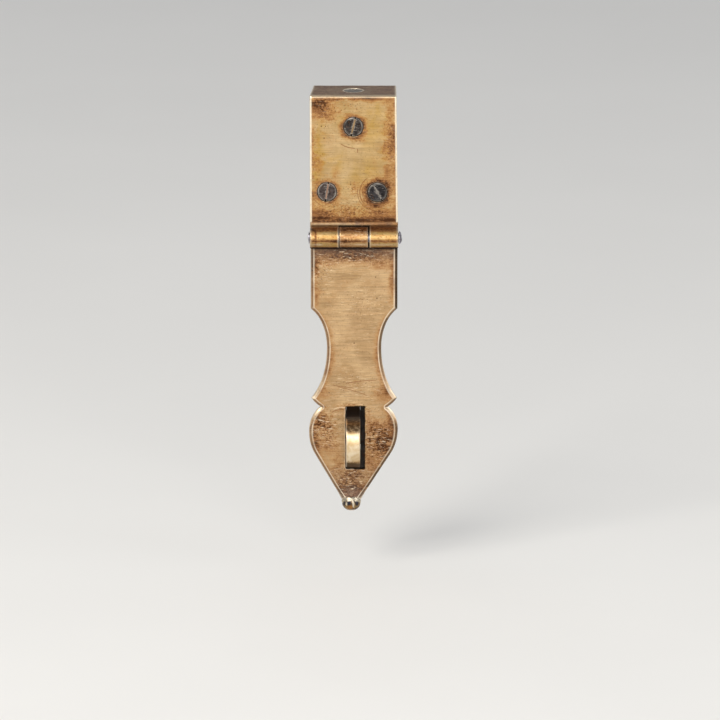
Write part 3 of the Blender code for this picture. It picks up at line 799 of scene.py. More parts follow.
def screw_halo(p):
    """The stain round the face screws at a point of the lid plate."""
    most = 0.0
    for name, (x, z, _) in FACE_SCREWS.items():
        strength, wide = SCREW_HALO[name]
        away = hypot(p.x - x, p.z - above_pin(z)) - SCREW_HEAD_R
        wide *= MM * (1 + 0.7 * noise_at(160 * p.x, 1, 260 * p.z))
        most = max(most, strength * (1 - smooth_step(-0.4 * wide, wide, away)))
    return most


def near_screw(p):
    """How far a point of the lid plate's face lies from the nearest face screw's axis."""
    return min(hypot(p.x - x, p.z - above_pin(z)) for x, z, _ in FACE_SCREWS.values())


def taper(p):
    """The plate was cut a little out of square: narrower at its top right, and at the flange's far left."""
    share = min(1.0, max(0.0, (p.z + PIN_DROP) / Z_LID_TOP))
    if p.x > 0:
        return -0.9 * MM * share * p.x / LID_HALF_WIDTH
    return -1.6 * MM * max(0.0, p.y / FLANGE_DEPTH) * p.x / LID_HALF_WIDTH


def from_side(p):
    """How far a point of the lid plate lies from its nearer side edge."""
    if p.x < 0:
        return LID_HALF_WIDTH + p.x
    return LID_HALF_WIDTH + taper(Vector((LID_HALF_WIDTH, p.y, p.z))) - p.x


def lid_wear_and_highlight(p, wear_and_highlight):
    """Bright side edges, rubbed and painted near-white as a highlight; dull round the screws, along the
    ridge and on the knuckles, which carry a painted highlight line.
    """
    height = p.z + PIN_DROP
    if p.y < 1 * MM and near_screw(p) < 6 * MM:
        return 0.1 * wear_and_highlight
    around = around_pin(p)
    if around is not None:
        return max(0.5 * wear_and_highlight, knuckle_painted_highlight(p, around))
    if p.y > 0.5 * MM and p.z < above_pin(Z_LID_TOP) - 1 * MM:
        return 0.5 * wear_and_highlight
    if height < RIDGE[1] + 0.5 * MM:
        return wear_and_highlight * smooth_step(14 * MM, -6 * MM, p.x) * (0.4 + 0.5 * noise_at(420 * p.x, 0, 3))
    # Side edges: rubbed, and painted near-white as a highlight, wider on the right
    if p.y < 0.7 * MM - LID_THICK and from_side(p) < (0.7 * MM if p.x < 0 else 1.05 * MM):
        return max(wear_and_highlight, 0.9)
    return wear_and_highlight


def make_lid_plate():
    half = LID_HALF_WIDTH
    plate = side_loft("lid_plate_visual", lid_outline(), -half, half, 0.5 * MM, 0.6 * MM)
    scoop = STRAP_BACK_Y - PIN_Y + SCOOP_GAP
    cutters = [pin_cylinder(scoop, KNUCKLE_GAP_LEFT[0], KNUCKLE_GAP_RIGHT[1])]
    for x, z, _ in FACE_SCREWS.values():
        cutters.append(countersink((x, -LID_THICK, above_pin(z)), (0, -1, 0)))
    cutters.append(countersink((*FLANGE_SCREW[:2], above_pin(Z_LID_TOP)), (0, 0, 1)))
    combine(plate, cutters)
    for vertex in plate.data.vertices:
        vertex.co.x += taper(vertex.co)
    rough_up(plate, 0.05 * MM, 9 * MM, 1)
    edge_attributes(plate, rubbed=lid_wear_and_highlight)

    def in_notch(p):
        return KNUCKLE_GAP_LEFT[0] - 0.2 * MM < p.x < KNUCKLE_GAP_RIGHT[1] + 0.2 * MM

    def patina(p, n):
        height = p.z + PIN_DROP
        around = around_pin(p)
        if around is not None:
            groove = 0.7 if abs(p.x + 18.8 * MM) < 0.35 * MM else 0.0
            return max(knuckle_stain_and_shade(p, around), groove)
        # Faces turned up: on the flange's top, brown as part of a painted dark reflection, darker towards
        # its back edge
        if n.z > 0.5:
            if p.y < 0.6 * MM:
                return 0.0
            return 0.42 + 0.3 * noise.noise(p * 150) + 0.3 * smooth_step(5 * MM, 0, FLANGE_DEPTH - p.y)
        if n.y > 0.3 or p.y > 0.5 * MM:
            return 0.75
        edge = 0.3 * smooth_step(4 * MM, 0.4 * MM, from_side(p))
        edge *= smooth_step(-0.5, 0.5, noise.noise(p * 140))
        foot = 1.0 * smooth_step(12.0 * MM, 8.5 * MM, height) * smooth_step(6.6 * MM, 7.4 * MM, height)
        low = 0.34 * smooth_step(22 * MM, 9 * MM, height) if height > 7 * MM else 0.0
        ridge = 0.2 + 0.3 * smooth_step(-4 * MM, 12 * MM, p.x) if height < 7 * MM else 0.0
        return min(1.5, max(stained(LID_STAINS, p), screw_halo(p)) + edge + max(foot, low, ridge))

    def gold(p, n):
        if around_pin(p) is not None:
            return 0.8
        return 0.3 + stained(LID_GOLD, p, 2.4) if n.y < -0.5 else 0.1

    def grime(p, n):
        # Painted dark reflection on the flange's top; greyer on the back faces and along the ridge
        if n.z > 0.5 and p.y > 0.6 * MM:
            return 0.78
        if n.y > 0.5:
            return 0.5
        on_ridge = around_pin(p) is None and p.z + PIN_DROP < 7 * MM
        return 0.55 + 0.4 * noise_at(260 * p.x, 5, 0) if on_ridge else 0.0

    # Painted shade: on the knuckles' facing ends and undersides, in the countersinks round the face screws,
    # in the notch behind the strap's knuckle and on the plate's side faces
    def soot(p, n):
        around = around_pin(p)
        if around is not None:
            return knuckle_soot(p, n, around)
        if p.y < 0 and near_screw(p) < SCREW_HEAD_R + 0.3 * MM:
            return 0.9
        if in_notch(p) and p.z + PIN_DROP < 5.5 * MM:
            return 0.95
        return 0.3 if p.y < -1 * MM and abs(n.x) > 0.9 else 0.0

    def speckle(p, n):
        return 0.25 + stained(LID_SPECKLED, p) if around_pin(p) is None else 0.5

    paint(plate, patina=patina, gold=gold, grime=grime, soot=soot, speckle=speckle)
    finish(plate, brass("lid_brass", LID_LOOKS), "fixed", "lid_plate")


# ---------------- hasp strap


def bezier(start, start_handle, end_handle, end):
    """Points after start along one cubic; all are (half width, height) pairs in millimetres."""
    ends = [Vector((x * MM, z * MM, 0)) for x, z in (start, start_handle, end_handle, end)]
    steps = max(4, round((ends[3] - ends[0]).length / OUTLINE_STEP))
    return [(p.x, p.y) for p in interpolate_bezier(*ends, steps + 1)[1:]]


def strap_outline():
    """(half width, height) down one side of the hasp, from the hinge to the start of its tip."""
    shoulder, waist, flare = (20.6, -37.0), (13.4, -55.9), (21.1, -81.8)
    notch, heart, side = (16.5, -86.2), (21.95, -98.0), (18.6, -110.4)
    half = STRAP_HALF_WIDTH
    points = line((half, Z_STRAP_TOP), (half, Z_SHOULDER), OUTLINE_STEP) + [(half, Z_SHOULDER)]
    points += [(20.95 * MM, -36.65 * MM), (shoulder[0] * MM, shoulder[1] * MM)]
    points += bezier(shoulder, (16.2, -40.8), (13.4, -47.9), waist)
    points += bezier(waist, (13.4, -67.4), (16.4, -75.8), flare)
    points += bezier(flare, (19.6, -84.0), (18.3, -85.0), notch)
    points += bezier(notch, (19.6, -88.6), (21.95, -93.0), heart)
    points += bezier(heart, (21.95, -103.0), (20.7, -107.1), side)
    last = (TIP_HALF_WIDTH, Z_TIP_BEND - TIP_BEND_R * TIP_BEND - TIP_NECK)
    return points + line(points[-1], last, OUTLINE_STEP)[1:] + [last]


class Outline:
    """One side of the hasp: its half width at any height, and how far a point lies inside it."""

    def __init__(self):
        points = strap_outline()
        dense = [p for a, b in zip(points, points[1:]) for p in line(a, b, 0.1 * MM)] + [points[-1]]
        self.x, self.z = np.array(dense).T
        self.corners = sorted({z for _, z in points}, reverse=True)

    def half_width(self, z):
        return float(np.interp(-z, -self.z, self.x))

    def inset(self, z, amount):
        """The half width at height z of the outline moved inwards by amount."""
        wide = self.half_width(z)
        if not amount:
            return wide
        near = np.abs(self.z - z) < 3 * MM
        across = np.linspace(max(0.0, wide - 5 * MM), wide, 126)
        away = np.hypot(across[:, None] - self.x[near], z - self.z[near]).min(axis=1)
        inside = int(np.nonzero(away >= amount)[0][-1])
        more = (away[inside] - amount) / max(1e-9, away[inside] - away[inside + 1])
        return float(across[inside] + more * (across[1] - across[0]))


def tip_path(point):
    """Bends a point of the flat strap forwards below Z_TIP_BEND; points above stay."""
    x, y, z = point
    beyond = Z_TIP_BEND - z
    if beyond <= 0:
        return Vector(point)
    mid_y = STRAP_BACK_Y - STRAP_THICK / 2
    turn = min(beyond / TIP_BEND_R, TIP_BEND)
    straight = max(0.0, beyond - TIP_BEND_R * TIP_BEND)
    radius = TIP_BEND_R + y - mid_y
    bent_y = mid_y - TIP_BEND_R + radius * cos(turn) - straight * sin(turn)
    bent_z = Z_TIP_BEND - radius * sin(turn) - straight * cos(turn)
    return Vector((x, bent_y, bent_z))


def lean(point):
    """The heart was cut a little out of line: it leans to -X below the notch."""
    below = max(0.0, Z_NOTCH - point.z)
    return Vector((point.x - HEART_LEAN * below, point.y, point.z))


# The chamfer's section: (share of its width, share of its depth)
CHAMFER = [(0.0, 1.15), (0.0, 1.0), (0.1, 0.84), (0.36, 0.6)]
CHAMFER += [(0.64, 0.38), (0.9, 0.16), (1.0, 0.02), (1.14, 0.0)]


def strap_blank(outline):
    rows = [(z, [outline.inset(z, share * CHAMFER_WIDE) for share, _ in CHAMFER]) for z in outline.corners]
    last = outline.corners[-1]
    tongue = [TONGUE_HALF_WIDTH - 0.3 * MM * share for share, _ in CHAMFER]
    rows += [(last - step * TONGUE_LONG, tongue) for step in (0.01, 0.5, 1.0)]
    front_columns, back_columns = 76, 16
    rings = []
    for z, widths in rows:
        side = [(x, STRAP_FRONT_Y + CHAMFER_DEEP * depth) for x, (_, depth) in zip(widths, CHAMFER)]
        inner, wide = widths[-1], widths[0]
        front = [(-inner + 2 * inner * k / front_columns, STRAP_FRONT_Y) for k in range(1, front_columns)]
        back_x = wide - 0.2 * MM
        inner_x = back_x - 0.4 * MM
        back_xs = [inner_x - 2 * inner_x * k / back_columns for k in range(back_columns + 1)]
        back = [(x, STRAP_BACK_Y) for x in (back_x, *back_xs, -back_x)]
        edge = (wide, STRAP_BACK_Y - 0.2 * MM)
        ring = [(-x, y) for x, y in side] + front + side[::-1] + [edge] + back + [(-edge[0], edge[1])]
        rings.append([lean(tip_path((x, y, z))) - Vector((0, 0, PIN_DROP)) for x, y in ring])
    return loft("hasp_strap_visual", rings)


def slot_cutter():
    """The filed slot: slightly uneven sides, round-cornered, with a small broken edge at its mouth."""
    low, high = Vector((SLOT_X[0], SLOT_Z[0])), Vector((SLOT_X[1], SLOT_Z[1]))
    corner = 0.8 * MM
    outline = []
    for cx, cz, start in (
        (high.x - corner, high.y - corner, 0),
        (low.x + corner, high.y - corner, 90),
        (low.x + corner, low.y + corner, 180),
        (high.x - corner, low.y + corner, 270),
    ):
        for k in range(4):
            t = radians(start + 30 * k)
            outline.append((cx + corner * cos(t), cz + corner * sin(t)))
    points = []
    for i, here in enumerate(outline):
        points += line(here, outline[(i + 1) % len(outline)], 0.9 * MM)
    middle = (low + high) / 2
    rings = []
    mouth = STRAP_FRONT_Y
    levels = [(-20 * MM, 2 * MM), (mouth - 0.1 * MM, 0.2 * MM), (mouth + 0.1 * MM, 0.0), (10 * MM, 0.0)]
    for y, grow in levels:
        ring = []
        for x, z in points:
            wave = 0.22 * MM * noise.noise(Vector((x, 0, z)) * 300)
            wave += 0.1 * MM * noise.noise(Vector((x, 3, z)) * 900)
            out = Vector((x, z)) - middle
            sx = copysign(1, out.x) if abs(out.x) > 3.6 * MM else 0
            sz = copysign(1, out.y) if abs(out.y) > 15 * MM else 0
            amount = grow + wave
            ring.append((x + sx * amount, y, above_pin(z + sz * amount)))
        rings.append(ring)
    return loft("cut", rings)


STRAP_STAINS = [
    (0, -6.5, 26, 6.4, 1.05), (20, -10, 4, 12, 0.6), (-12, -11.5, 8, 3.4, 0.5), (13, -12, 9, 4.6, 0.6),
    (-19, -13, 3.4, 9, 0.6), (18.8, -16, 3, 14, 0.5), (-18.6, -27, 2.6, 9, 0.35),
    (-14.5, -78, 5.4, 5, 0.4), (14.5, -78.5, 6, 5, 0.5), (12, -60, 3, 14, 0.2),
    (-3, -84.5, 7, 2.2, 0.45), (-15.8, -92.5, 5, 6.2, 0.7), (-19, -101, 3, 8, 0.5),
    (-11, -105, 6, 5, 0.4), (-13, -98, 5, 9, 0.4), (14, -102, 7.8, 11, 0.85), (9.5, -95.5, 3.4, 7, 0.5),
    (8.5, -112, 5, 8, 0.5), (18, -92, 3, 6, 0.5), (-8.5, -113.5, 4.4, 7, 0.4),
    (-0.8, -119.5, 9, 4.4, 0.55), (-1.6, -130, 9, 8.8, 1.35), (7, -99, 1.6, 16, 0.35),
]
STRAP_SPECKLED = [
    (-1, -119, 12, 6, 1), (12, -102, 10, 13, 1), (-14, -95, 9, 12, 0.9), (0, -86, 14, 5, 0.6),
    (4, -32, 16, 8, 0.4), (0, -8, 22, 6, 0.8), (-2, -124, 10, 10, 1), (-16, -16, 6, 12, 0.7),
    (0, -74, 18, 8, 0.4),
]
TIP_DARKENING = [(-1.7, -129.5, 8.6, 8, 1)]


def make_strap():
    outline = Outline()
    strap = strap_blank(outline)
    combine(strap, [pin_cylinder(SCOOP_GAP - PIN_Y, -2 * STRAP_HALF_WIDTH, 2 * STRAP_HALF_WIDTH)])
    join = above_pin(Z_KNUCKLE_JOIN)
    roll = rolled_knuckle(STRAP_FRONT_Y, STRAP_BACK_Y - PIN_Y, False)[:-1]
    roll += line((STRAP_FRONT_Y, above_pin(0)), (STRAP_FRONT_Y, join), 0.6 * MM)
    roll += line((STRAP_FRONT_Y, join), (STRAP_BACK_Y, join), 1 * MM)
    roll += line((STRAP_BACK_Y, join), (STRAP_BACK_Y, above_pin(0)), 1 * MM)
    knuckle = side_loft("knuckle", roll, KNUCKLE_GAP_LEFT[1], KNUCKLE_GAP_RIGHT[0], 0.5 * MM, 0.4 * MM)
    combine(strap, [knuckle], "UNION")
    combine(strap, [slot_cutter()])
    rough_up(strap, 0.05 * MM, 10 * MM, 2)

    def by_slot(p):
        """How far a point lies outside the slot."""
        height = p.z + PIN_DROP
        return max(SLOT_X[0] - p.x, p.x - SLOT_X[1], SLOT_Z[0] - height, height - SLOT_Z[1])

    def rubbed(p, wear_and_highlight):
        """Broken brightness along the chamfer, with a painted highlight where it faces up; little round the
        slot and the knuckle, which carries a painted highlight line.
        """
        if by_slot(p) < 0.6 * MM:
            return 0.4 * wear_and_highlight if p.x < 0 and p.z + PIN_DROP < SLOT_Z[1] - 1 * MM else 0.0
        around = around_pin(p)
        if around is not None:
            return max(0.35 * wear_and_highlight, knuckle_painted_highlight(p, around))
        if p.y > STRAP_BACK_Y - 0.1 * MM:
            return 0.35 * wear_and_highlight
        broken = 0.62 + 0.38 * smooth_step(-0.3, 0.3, noise.noise(p * 160))
        within, height = inside(p), p.z + PIN_DROP
        if within < 0.9 * CHAMFER_WIDE and p.y < STRAP_BACK_Y - 0.3 * MM and height > Z_TIP_BEND:
            # Painted highlight where the chamfer's edge faces up
            near = 0.3 * MM
            facing_up = (outline.half_width(height - near) - outline.half_width(height + near)) / (2 * near)
            wear_and_highlight = max(wear_and_highlight, 0.7 * smooth_step(0.15, 0.7, facing_up))
        return wear_and_highlight * broken * (0.85 if within > 0.6 * CHAMFER_WIDE else 1.0)

    def inside(p):
        """How far a point of the strap lies from its cut side."""
        height = min(Z_STRAP_TOP, max(outline.corners[-1], p.z + PIN_DROP))
        middle = lean(Vector((0, 0, height))).x
        return outline.half_width(height) - abs(p.x - middle)

    edge_attributes(strap, rubbed=rubbed)

    def patina(p, n):
        if n.y > 0.5:
            return 0.75
        around = around_pin(p)
        if around is not None:
            # Brown along the knuckle's top: a painted dark reflection
            return max(0.26, 0.6 * smooth_step(22, 48, around), knuckle_stain_and_shade(p, around))
        height, within = p.z + PIN_DROP, inside(p)
        mottle = noise.noise(p * 120)
        # Painted shade on the chamfer: dark where it faces sideways and down, darkest on the right above the
        # shoulder, light where it faces up
        if within < CHAMFER_WIDE and p.y < STRAP_BACK_Y - 0.3 * MM and height > Z_TIP_BEND:
            upward = smooth_step(0.05, 0.4, n.z)
            dark = (0.95 if p.x > 0 else 0.8) if height > Z_SHOULDER else 0.66
            return (1 - upward) * dark * (0.85 + 0.5 * mottle)
        neck = smooth_step(-36 * MM, -44 * MM, height) * smooth_step(-84 * MM, -76 * MM, height)
        vignette = (0.36 + 0.22 * neck) * smooth_step(5.5 * MM, 1.3 * MM, within)
        vignette *= 0.9 + (0.6 - 0.35 * neck) * mottle
        heart = 0.16 * smooth_step(-82 * MM, -90 * MM, height)
        return min(1.1, stained(STRAP_STAINS, p, 2.0) + vignette + heart)

    # Painted shade: on the knuckle's facing ends and underside, on the slot's walls, on the chamfer where it
    # does not face up (strongest on the right), just under the knuckle, and on the back
    def soot(p, n):
        around = around_pin(p)
        if around is not None:
            return knuckle_soot(p, n, around)
        height = p.z + PIN_DROP
        if by_slot(p) < 0.2 * MM and p.y > STRAP_FRONT_Y + 0.05 * MM or by_slot(p) < 0.26 * MM and p.x > 0:
            return 0.95
        chamfer = 0.0
        if inside(p) < 0.75 * CHAMFER_WIDE and height > Z_TIP_BEND:
            dark = (0.85 if height > Z_SHOULDER else 0.66) if p.x > 0 else 0.36
            chamfer = dark * smooth_step(0.25, 0.0, n.z)
        return max(0.85 * smooth_step(-7.2 * MM, -5.6 * MM, height), 0.4 if n.y > 0.5 else chamfer)

    def grime(p, n):
        # Darker over the tip's bend, below the knuckle and low on the heart
        tip = stained(TIP_DARKENING, p)
        top = 0.75 * smooth_step(-15 * MM, -7 * MM, p.z + PIN_DROP) if around_pin(p) is None else 0.0
        heart = 0.35 * smooth_step(-114 * MM, -122 * MM, p.z + PIN_DROP)
        return max(tip, top, heart)

    def gold(p, n):
        return 0.8 if around_pin(p) is not None else 0.1

    def speckle(p, n):
        return 0.2 + stained(STRAP_SPECKLED, p) if around_pin(p) is None else 0.5

    paint(strap, patina=patina, gold=gold, grime=grime, soot=soot, speckle=speckle)
    finish(strap, brass("strap_brass", STRAP_LOOKS), "hasp", "hasp_strap")


# ---------------- knob


# Painted reflections and highlights on the knob's front, undermost first: a warm gold patch, blue-black
# reflections, a cream arc highlight and white glints; strength, colour, and each one's (across, down,
# half width, half height) in shares of the knob's radius and height
KNOB_PAINTED_LIGHT = {
    "gold": (0.75, "ab7640", [(-0.12, 0.66, 0.34, 0.18)]),
    "dark_reflection": (
        0.9,
        "2a2f3c",
        [(-0.74, 0.38, 0.14, 0.16), (-0.24, 0.36, 0.24, 0.15), (0.56, 0.38, 0.2, 0.18)],
    ),
    "arc_highlight": (0.6, "d2c6b2", [(x, 0.13, 0.42, 0.1) for x in (-0.45, 0.0, 0.45)]),
    "painted_glint": (
        0.75,
        "fbf0da",
        [(0.22, 0.44, 0.1, 0.24), (-0.5, 0.4, 0.07, 0.13), (0.0, 0.93, 0.5, 0.06)],
    ),
}


def make_knob():
    end = Z_TIP_BEND - TIP_BEND_R * TIP_BEND - TIP_NECK
    seat = lean(tip_path((0, STRAP_BACK_Y - STRAP_THICK / 2, end - KNOB_GAP)))
    r = KNOB_R
    profile = [(0.3 * r, 0), (0.7 * r, 0), (0.93 * r, 0), (0.985 * r, -0.12 * MM), (r, -0.4 * MM)]
    profile += [(r, -KNOB_COLLAR + 0.35 * MM), (0.985 * r, -KNOB_COLLAR + 0.08 * MM)]
    profile += [(0.93 * r, -KNOB_COLLAR)]
    for i in range(KNOB_STEPS):
        turn = pi / 2 * i / KNOB_STEPS
        height = -KNOB_COLLAR - 0.1 * MM - (KNOB_DOME - 0.1 * MM) * sin(turn)
        profile.append((0.955 * r * cos(turn), height))
    knob = revolve("tip_knob_visual", profile, 72)
    wide, thick = TONGUE_HALF_WIDTH + KNOB_GAP, STRAP_THICK / 2 + KNOB_GAP
    deep = -TONGUE_LONG - KNOB_GAP
    square = ((-1, -1), (1, -1), (1, 1), (-1, 1))
    pocket = [[(sx * wide, sy * thick, h) for sx, sy in square] for h in (deep, 1 * MM)]
    combine(knob, [loft("cut", pocket)])
    rough_up(knob, 0.05 * MM, 3 * MM, 5)
    place = Matrix.Translation((seat.x, seat.y, above_pin(seat.z)))
    knob.data.transform(place @ Matrix.Rotation(-TIP_BEND, 4, "X"))
    edge_attributes(knob)
    # Painted dark reflection: strongest where the knob faces up
    paint(knob, patina=lambda p, n: smooth_step(-0.25, 0.45, n.z))
    heights = [v.co.z for v in knob.data.vertices]
    top, tall = max(heights), max(heights) - min(heights)

    def marked(marks):
        """A function that says how much a point of the knob's front lies in any of the painted reflection
        marks.
        """

        def value_at(p, n):
            across, down = (p.x - seat.x) / KNOB_R, (top - p.z) / tall
            down -= 0.12 * across * across
            near = [hypot((across - x) / wide, (down - z) / high) for x, z, wide, high in marks]
            return (1 - smooth_step(0.55, 1.25, min(near))) * smooth_step(0.1, -0.1, n.y)

        return value_at

    for name, (_, _, marks) in KNOB_PAINTED_LIGHT.items():
        paint(knob, **{name: marked(marks)})
    w = Wiring("knob_brass")
    cloud = w.noise(260, 4, 0.6, 0.6)
    colour = w.mix(w.steps(cloud, 0.3, 0.7), "7a5d36", "b89a68")
    dark = w.steps(w.noise((420, 420, 300), 3, 0.6, 0.8, 0, (1.4, 0, 2.2)), 0.44, 0.6)
    crevice = w.steps(w.attribute("crevice"), 0.05, 0.6)
    # Grey painted dark reflection where the knob faces up
    colour = w.over(colour, w.attribute("patina"), "5c5350", 0.8)
    colour = w.over(colour, dark, "3f3634", 0.85)
    colour = w.over(colour, crevice, "3a2a1c", 0.9)
    colour = w.over(colour, w.attribute("wear_and_highlight"), "fff0d0", 0.7)
    # Painted reflections and highlights
    for name, (share, tint, _) in KNOB_PAINTED_LIGHT.items():
        colour = w.over(colour, w.attribute(name), tint, share)
    rough = w.blend(dark, w.steps(cloud, 0.3, 0.7, 0.16, 0.26), 0.42)
    fine = w.noise((2200, 2200, 700), 3, 0.6)
    material = w.surface(colour, rough, w.times_plus(fine, 0.4, cloud), 0.3, 0.1 * MM)
    finish(knob, material, "hasp", "tip_knob")


# ---------------- staple


def staple_centreline():
    """(y, z) points along the strip's middle, from the upper clenched end to the lower one."""
    half = STAPLE_THICK / 2
    low, high = Z_STAPLE[0] + half, Z_STAPLE[1] - half
    middle, rise = (low + high) / 2, (high - low) / 2
    tail_y = STAPLE[1].y - half
    bend_y = tail_y - CLENCH_BEND_R
    top = high + CLENCH_BEND_R + CLENCH_TAIL
    upper = line((tail_y, top), (tail_y, high + CLENCH_BEND_R), 0.8 * MM)
    upper += arc((bend_y, high + CLENCH_BEND_R), CLENCH_BEND_R, 0, -pi / 2, 8)
    start_y = -(STAPLE_REACH - STAPLE_ROUND)
    reach = STAPLE_ROUND - half
    upper += line((bend_y, high), (start_y, high), 1.5 * MM)[1:]
    power = 2 / STAPLE_SQUARENESS
    loop, steps = [], 72
    for i in range(steps + 1):
        turn = pi / 2 - pi * i / steps
        across = max(0.0, cos(turn)) ** power
        along = copysign(abs(sin(turn)) ** power, sin(turn))
        loop.append((start_y - reach * across, middle + rise * along))
    return upper + loop + [(y, 2 * middle - z) for y, z in reversed(upper)]


def strip_section(half_wide, half_thick, edge):
    """(x, out) points round a strip's section with rounded corners."""
    points = []
    for sx, sy, start in ((1, 1, 0), (-1, 1, 90), (-1, -1, 180), (1, -1, 270)):
        for k in range(5):
            t = radians(start + 22.5 * k)
            out = sy * (half_thick - edge) + edge * sin(t)
            points.append((sx * (half_wide - edge) + edge * cos(t), out))
        if sy > 0 and sx > 0 or sy < 0 and sx < 0:
            ends = (half_wide - edge, -(half_wide - edge))
            if sy < 0:
                ends = ends[::-1]
            points += [(x, sy * half_thick) for x in np.linspace(*ends, 8)[1:-1]]
    return points


def make_staple():
    path = [Vector(p) for p in staple_centreline()]
    count = len(path)
    lengths = np.cumsum([0] + [(path[i] - path[i - 1]).length for i in range(1, count)])
    rings = []
    for i, here in enumerate(path):
        along = (path[min(i + 1, count - 1)] - path[max(i - 1, 0)]).normalized()
        across = Vector((-along.y, along.x))
        to_end = min(lengths[i], lengths[-1] - lengths[i])
        narrow = 0.55 + 0.45 * smooth_step(0, 8 * MM, to_end)
        thin = 0.5 + 0.5 * smooth_step(0, 5 * MM, to_end)
        section = strip_section(STAPLE_HALF_WIDTH * narrow, STAPLE_THICK / 2 * thin, 0.5 * MM * thin)
        placed = [(x, here + across * out) for x, out in section]
        rings.append([(STAPLE_X + x, p.x, above_pin(p.y)) for x, p in placed])
    staple = loft("staple_visual", rings)
    rough_up(staple, 0.035 * MM, 6 * MM, 3)

    def rubbed(p, wear_and_highlight):
        # Bright edges only on the front's left half, the lit side: rubbed, and partly painted as a highlight
        return wear_and_highlight * 0.7 if p.y < -5 * MM and p.x < STAPLE_X else 0.0

    edge_attributes(staple, 0.6, 0.25, 0, rubbed)
    middle = above_pin(sum(Z_STAPLE) / 2)
    half = (Z_STAPLE[1] - Z_STAPLE[0]) / 2

    # Painted shade and dark reflection: dark near and behind the strap, on the loop's inner faces, along its
    # top and under its lower bend
    def patina(p, n):
        if p.y > -4 * MM:
            return 0.85
        up = (p.z - middle) / half
        top = 0.75 * smooth_step(0.15, 0.7, n.z) * smooth_step(-0.2, 0.6, up)
        low = 0.9 * smooth_step(-0.35, -0.8, up)
        inner = 0.7 if n.y > 0.4 else 0.0
        return max(top, low, inner)

    # Painted shade: near black on the legs behind the strap
    def soot(p, n):
        return 0.93 * smooth_step(-2.5 * MM, -0.4 * MM, p.y)

    paint(staple, patina=patina, soot=soot)
    w = Wiring("staple_brass")
    cloud = w.noise(240, 4, 0.6, 0.4)
    lines = w.noise((2400, 200, 260), 3, 0.6, 0.3)
    colour = w.mix(w.steps(cloud, 0.3, 0.7), "cdb084", "e6d6ba")
    blotch = w.noise(600, 4, 0.7)
    # Brown from the painted shade and dark reflection above, broken by blotches
    stain = w.math("ADD", w.attribute("patina"), w.times(w.less(blotch, 0.5), 0.8))
    stain = w.times(w.steps(stain, 0.2, 0.85), w.steps(w.attribute("patina"), 0.02, 0.2))
    brown = w.ramp(stain, [(0.0, "b98c4c"), (0.6, "8b6434"), (1.0, "4e3821")])
    colour = w.over(colour, stain, brown, 0.95)
    colour = w.over(colour, w.attribute("wear_and_highlight"), "fff6e4")
    # Near black where shade is painted on the legs
    soot = w.attribute("soot")
    colour = w.over(colour, soot, "241810")
    rough = w.blend(stain, w.steps(lines, 0.3, 0.7, 0.3, 0.42), 0.5)
    height = w.times_plus(lines, 0.4, blotch)
    material = w.surface(colour, rough, height, 0.22, 0.1 * MM, soot)
    finish(staple, material, "fixed", "staple")


# ---------------- screws, pin, clench plate


def steel(name, looks):
    """Dark steel with bright rims, worn and on the screws also painted as a highlight, and brass dust in its
    hollows.
    """
    w = Wiring(name)
    cloud = w.noise(500, 4, 0.65, 0.5, shift=looks["shift"])
    colour = w.mix(w.steps(cloud, 0.3, 0.7), looks["dark"], looks["light"])
    rust = w.steps(w.noise(900, 3, 0.6, 0, 0, looks["shift"]), 0.58, 0.7)
    colour = w.over(colour, rust, "7a5136", looks["rusty"])
    scratch = w.steps(w.noise((500, 500, 2600), 3, 0.6, 0.4, 0.7, looks["shift"]), 0.6, 0.68)
    colour = w.over(colour, scratch, looks["rim"], 0.55)
    colour = w.over(colour, w.attribute("dust"), looks["dust"])
    # Bright rims: worn, and on the screws a painted highlight ring
    colour = w.over(colour, w.attribute("wear_and_highlight"), looks["rim"], 0.85)
    lines = w.noise((700, 2600, 2600), 3, 0.6, 0.6)
    rough = w.steps(cloud, 0.3, 0.7, looks["rough"] - 0.08, looks["rough"] + 0.1)
    height = w.times_plus(lines, 0.5, cloud)
    return w.surface(colour, rough, height, 0.35, 0.1 * MM)


